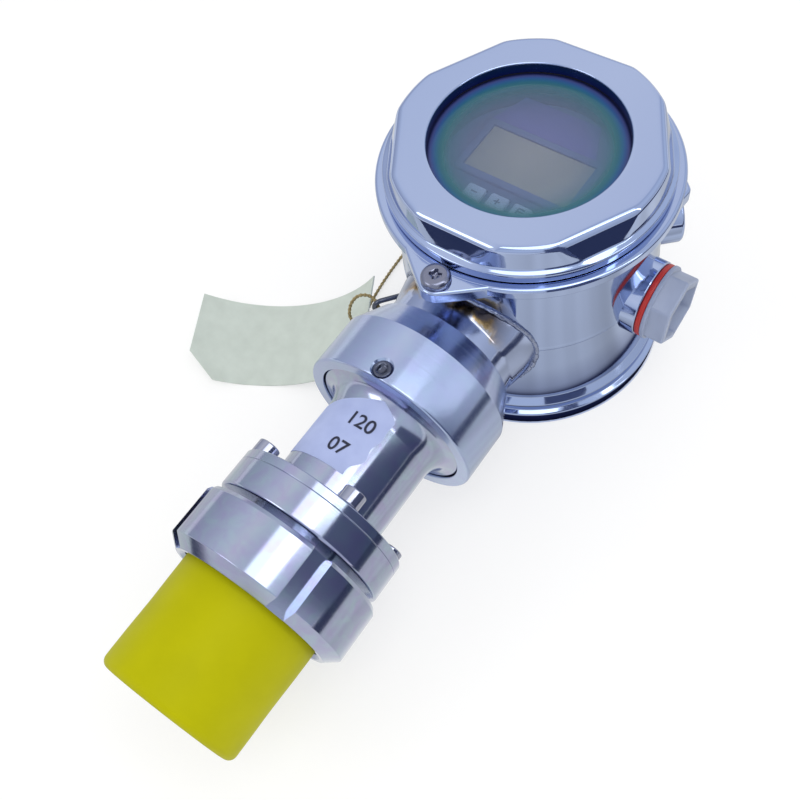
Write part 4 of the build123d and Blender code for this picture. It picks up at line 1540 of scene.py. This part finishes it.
@dataclass
class Studio:
    """The photograph's viewpoint, with a plain pale floor, soft light and cards for the steel to reflect."""

    azimuth: float = 47.6
    elevation: float = 59.92
    roll: float = -13.74
    eye: Place = (116.54, -182.39, 320.46)
    focal_px: float = 998.87
    image_px: int = 800
    sensor_mm: float = 36.0

    def build(self) -> None:
        """Builds the whole studio."""
        self.camera()
        self.world()
        self.lamps()
        self.floor()
        self.cards()
        bpy.context.scene.view_settings.view_transform = "Standard"

    def camera(self) -> None:
        """Sets the camera at the photograph's viewpoint."""
        turn, lift, tilt = (math.radians(value) for value in (self.azimuth, self.elevation, self.roll))
        back = Vector((math.sin(turn) * math.cos(lift), -math.cos(turn) * math.cos(lift), math.sin(lift)))
        level = Vector((math.cos(turn), math.sin(turn), 0))
        upward = back.cross(level)
        right = level * math.cos(tilt) + upward * math.sin(tilt)
        up = upward * math.cos(tilt) - level * math.sin(tilt)
        camera = add_piece("photo_camera", bpy.ops.object.camera_add)
        axes = Matrix((right, up, back)).transposed().to_4x4()
        camera.matrix_world = Matrix.Translation(Vector(self.eye) * MM) @ axes
        camera.data.sensor_width = self.sensor_mm
        camera.data.lens = self.focal_px * self.sensor_mm / self.image_px
        camera.data.clip_start = 0.01
        camera.data.clip_end = 20.0
        bpy.context.scene.camera = camera

    def world(self) -> None:
        """Shows white behind the object, and gives the steel a pale room that is brightest overhead."""
        world = bpy.data.worlds.new("studio_world")
        bpy.context.scene.world = world
        world.use_nodes = True
        graph = Graph(world.node_tree)
        graph.tree.nodes.clear()
        ray = graph.add("LightPath")
        way = graph.add("TexCoord").outputs["Generated"]
        parts = graph.add("SeparateXYZ", links={"Vector": way})
        angle = graph.add("Math", {"operation": "ARCTAN2"}, {0: parts.outputs["X"], 1: parts.outputs["Z"]})
        share = graph.add("MapRange", {"From Min": -math.pi / 2, "From Max": math.pi / 2}, {"Value": angle})
        room = graph.add("ValToRGB", links={"Fac": share})
        set_ramp(
            room,
            [
                (0.0, "#BEC3CE"),
                (0.094, "#CDD2DC"),
                (0.183, "#DEE2EA"),
                (0.27, "#F0F4FA"),
                (0.36, "#FFFFFF"),
                (0.448, "#ECEFF6"),
                (0.537, "#CED6E2"),
                (0.626, "#E0E8F2"),
                (0.80, "#E4EBF4"),
                (0.893, "#D6DCE4"),
                (1.0, "#CCD3DC"),
            ],
        )
        glossy = ray.outputs["Is Glossy Ray"]
        tone = graph.add("Mix", {"data_type": "RGBA", 6: linear("#FFFFFF")}, {0: glossy, 7: room})
        strength = graph.add("MapRange", {"To Min": 0.85, "To Max": 1.0}, {"Value": graph.seen(ray)})
        light = graph.add("Background", links={"Color": tone.outputs[2], "Strength": strength})
        graph.add("OutputWorld", links={"Surface": light})

    def lamps(self) -> None:
        """Adds a broad lamp overhead, a strip on the right and a small lamp in front."""
        for name, place, aim, size, power in (
            ("overhead_softbox", (0.2, -0.13, 0.9), (0.2, -0.13, 0.0), (0.46, 0.68), 1.65),
            ("side_strip", (0.55, 0.1, 0.66), (0, -0.05, 0.05), (0.07, 1.0), 0.7),
            ("front_softbox", (-0.35, -0.62, 0.58), (0, -0.05, 0.08), (0.3, 0.3), 0.6),
        ):
            lamp = add_piece(name, bpy.ops.object.light_add, type="AREA", location=place)
            lamp.data.shape = "RECTANGLE"
            lamp.data.size, lamp.data.size_y = size
            lamp.data.energy = power
            lamp.rotation_euler = (Vector(aim) - Vector(place)).to_track_quat("-Z", "Y").to_euler()

    def floor(self) -> None:
        """Adds the white table top, which keeps a faint shadow."""
        floor = add_piece("table_top", bpy.ops.mesh.primitive_plane_add, size=6)
        dress(floor, TABLE_TOP)

    def cards(self) -> None:
        """Lays dark cards and the painted shadow card where only reflections see them, and stands a flag."""
        for name, place, turn, size, finish in (
            ("front_card", (-0.095, -0.38, 0.004), (0, 0, 0), (0.19, 0.28), NAVY_CARD),
            ("right_card", (0.66, 0.05, 0.004), (0, 0, 0), (0.9, 0.8), NAVY_CARD),
            ("neck_flag", (0.12, -0.09, 0.12), (0, math.pi / 2, 0), (0.14, 0.09), GREY_CARD),
        ):
            card = add_piece(name, bpy.ops.mesh.primitive_plane_add, size=1, location=place, rotation=turn)
            card.scale = (*size, 1)
            self.show_to_reflections(card, finish)
        # Painted shadow card round the housing's foot, seen only in reflections.
        ground = turned("painted_shadow_card", divided([(48.4, 0.6), (450.0, 0.6)], 25.0), 96)
        self.show_to_reflections(ground, PAINTED_SHADOW_CARD)

    @staticmethod
    def show_to_reflections(card: Piece, finish: Finish) -> None:
        """Gives a card its tone and leaves it to reflections alone.

        Args:
            card: The card.
            finish: Its tone.
        """
        dress(card, finish)
        card.visible_camera = False
        card.visible_diffuse = False
        card.visible_shadow = False


def main() -> None:
    """Builds the scene and notes each assembly of the object as it is built."""
    logging.basicConfig(level=logging.INFO, format="%(message)s")
    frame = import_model()
    nodes = frame["nodes"]
    for name, finish in NODE_FINISHES.items():
        dress(nodes[name], finish)
    for name, body in COPIED_NODES.items():
        smooth_copy(nodes[name], NODE_FINISHES[name], body)
    neck = Neck()
    for assembly in (Housing(), Lid(), Window(), neck, Label(neck), DisplayCover(), KeyMarks()):
        assembly.build()
        LOG.info("built %s", type(assembly).__name__)
    Twine().build(nodes)
    Studio().build()


if __name__ == "__main__":
    main()
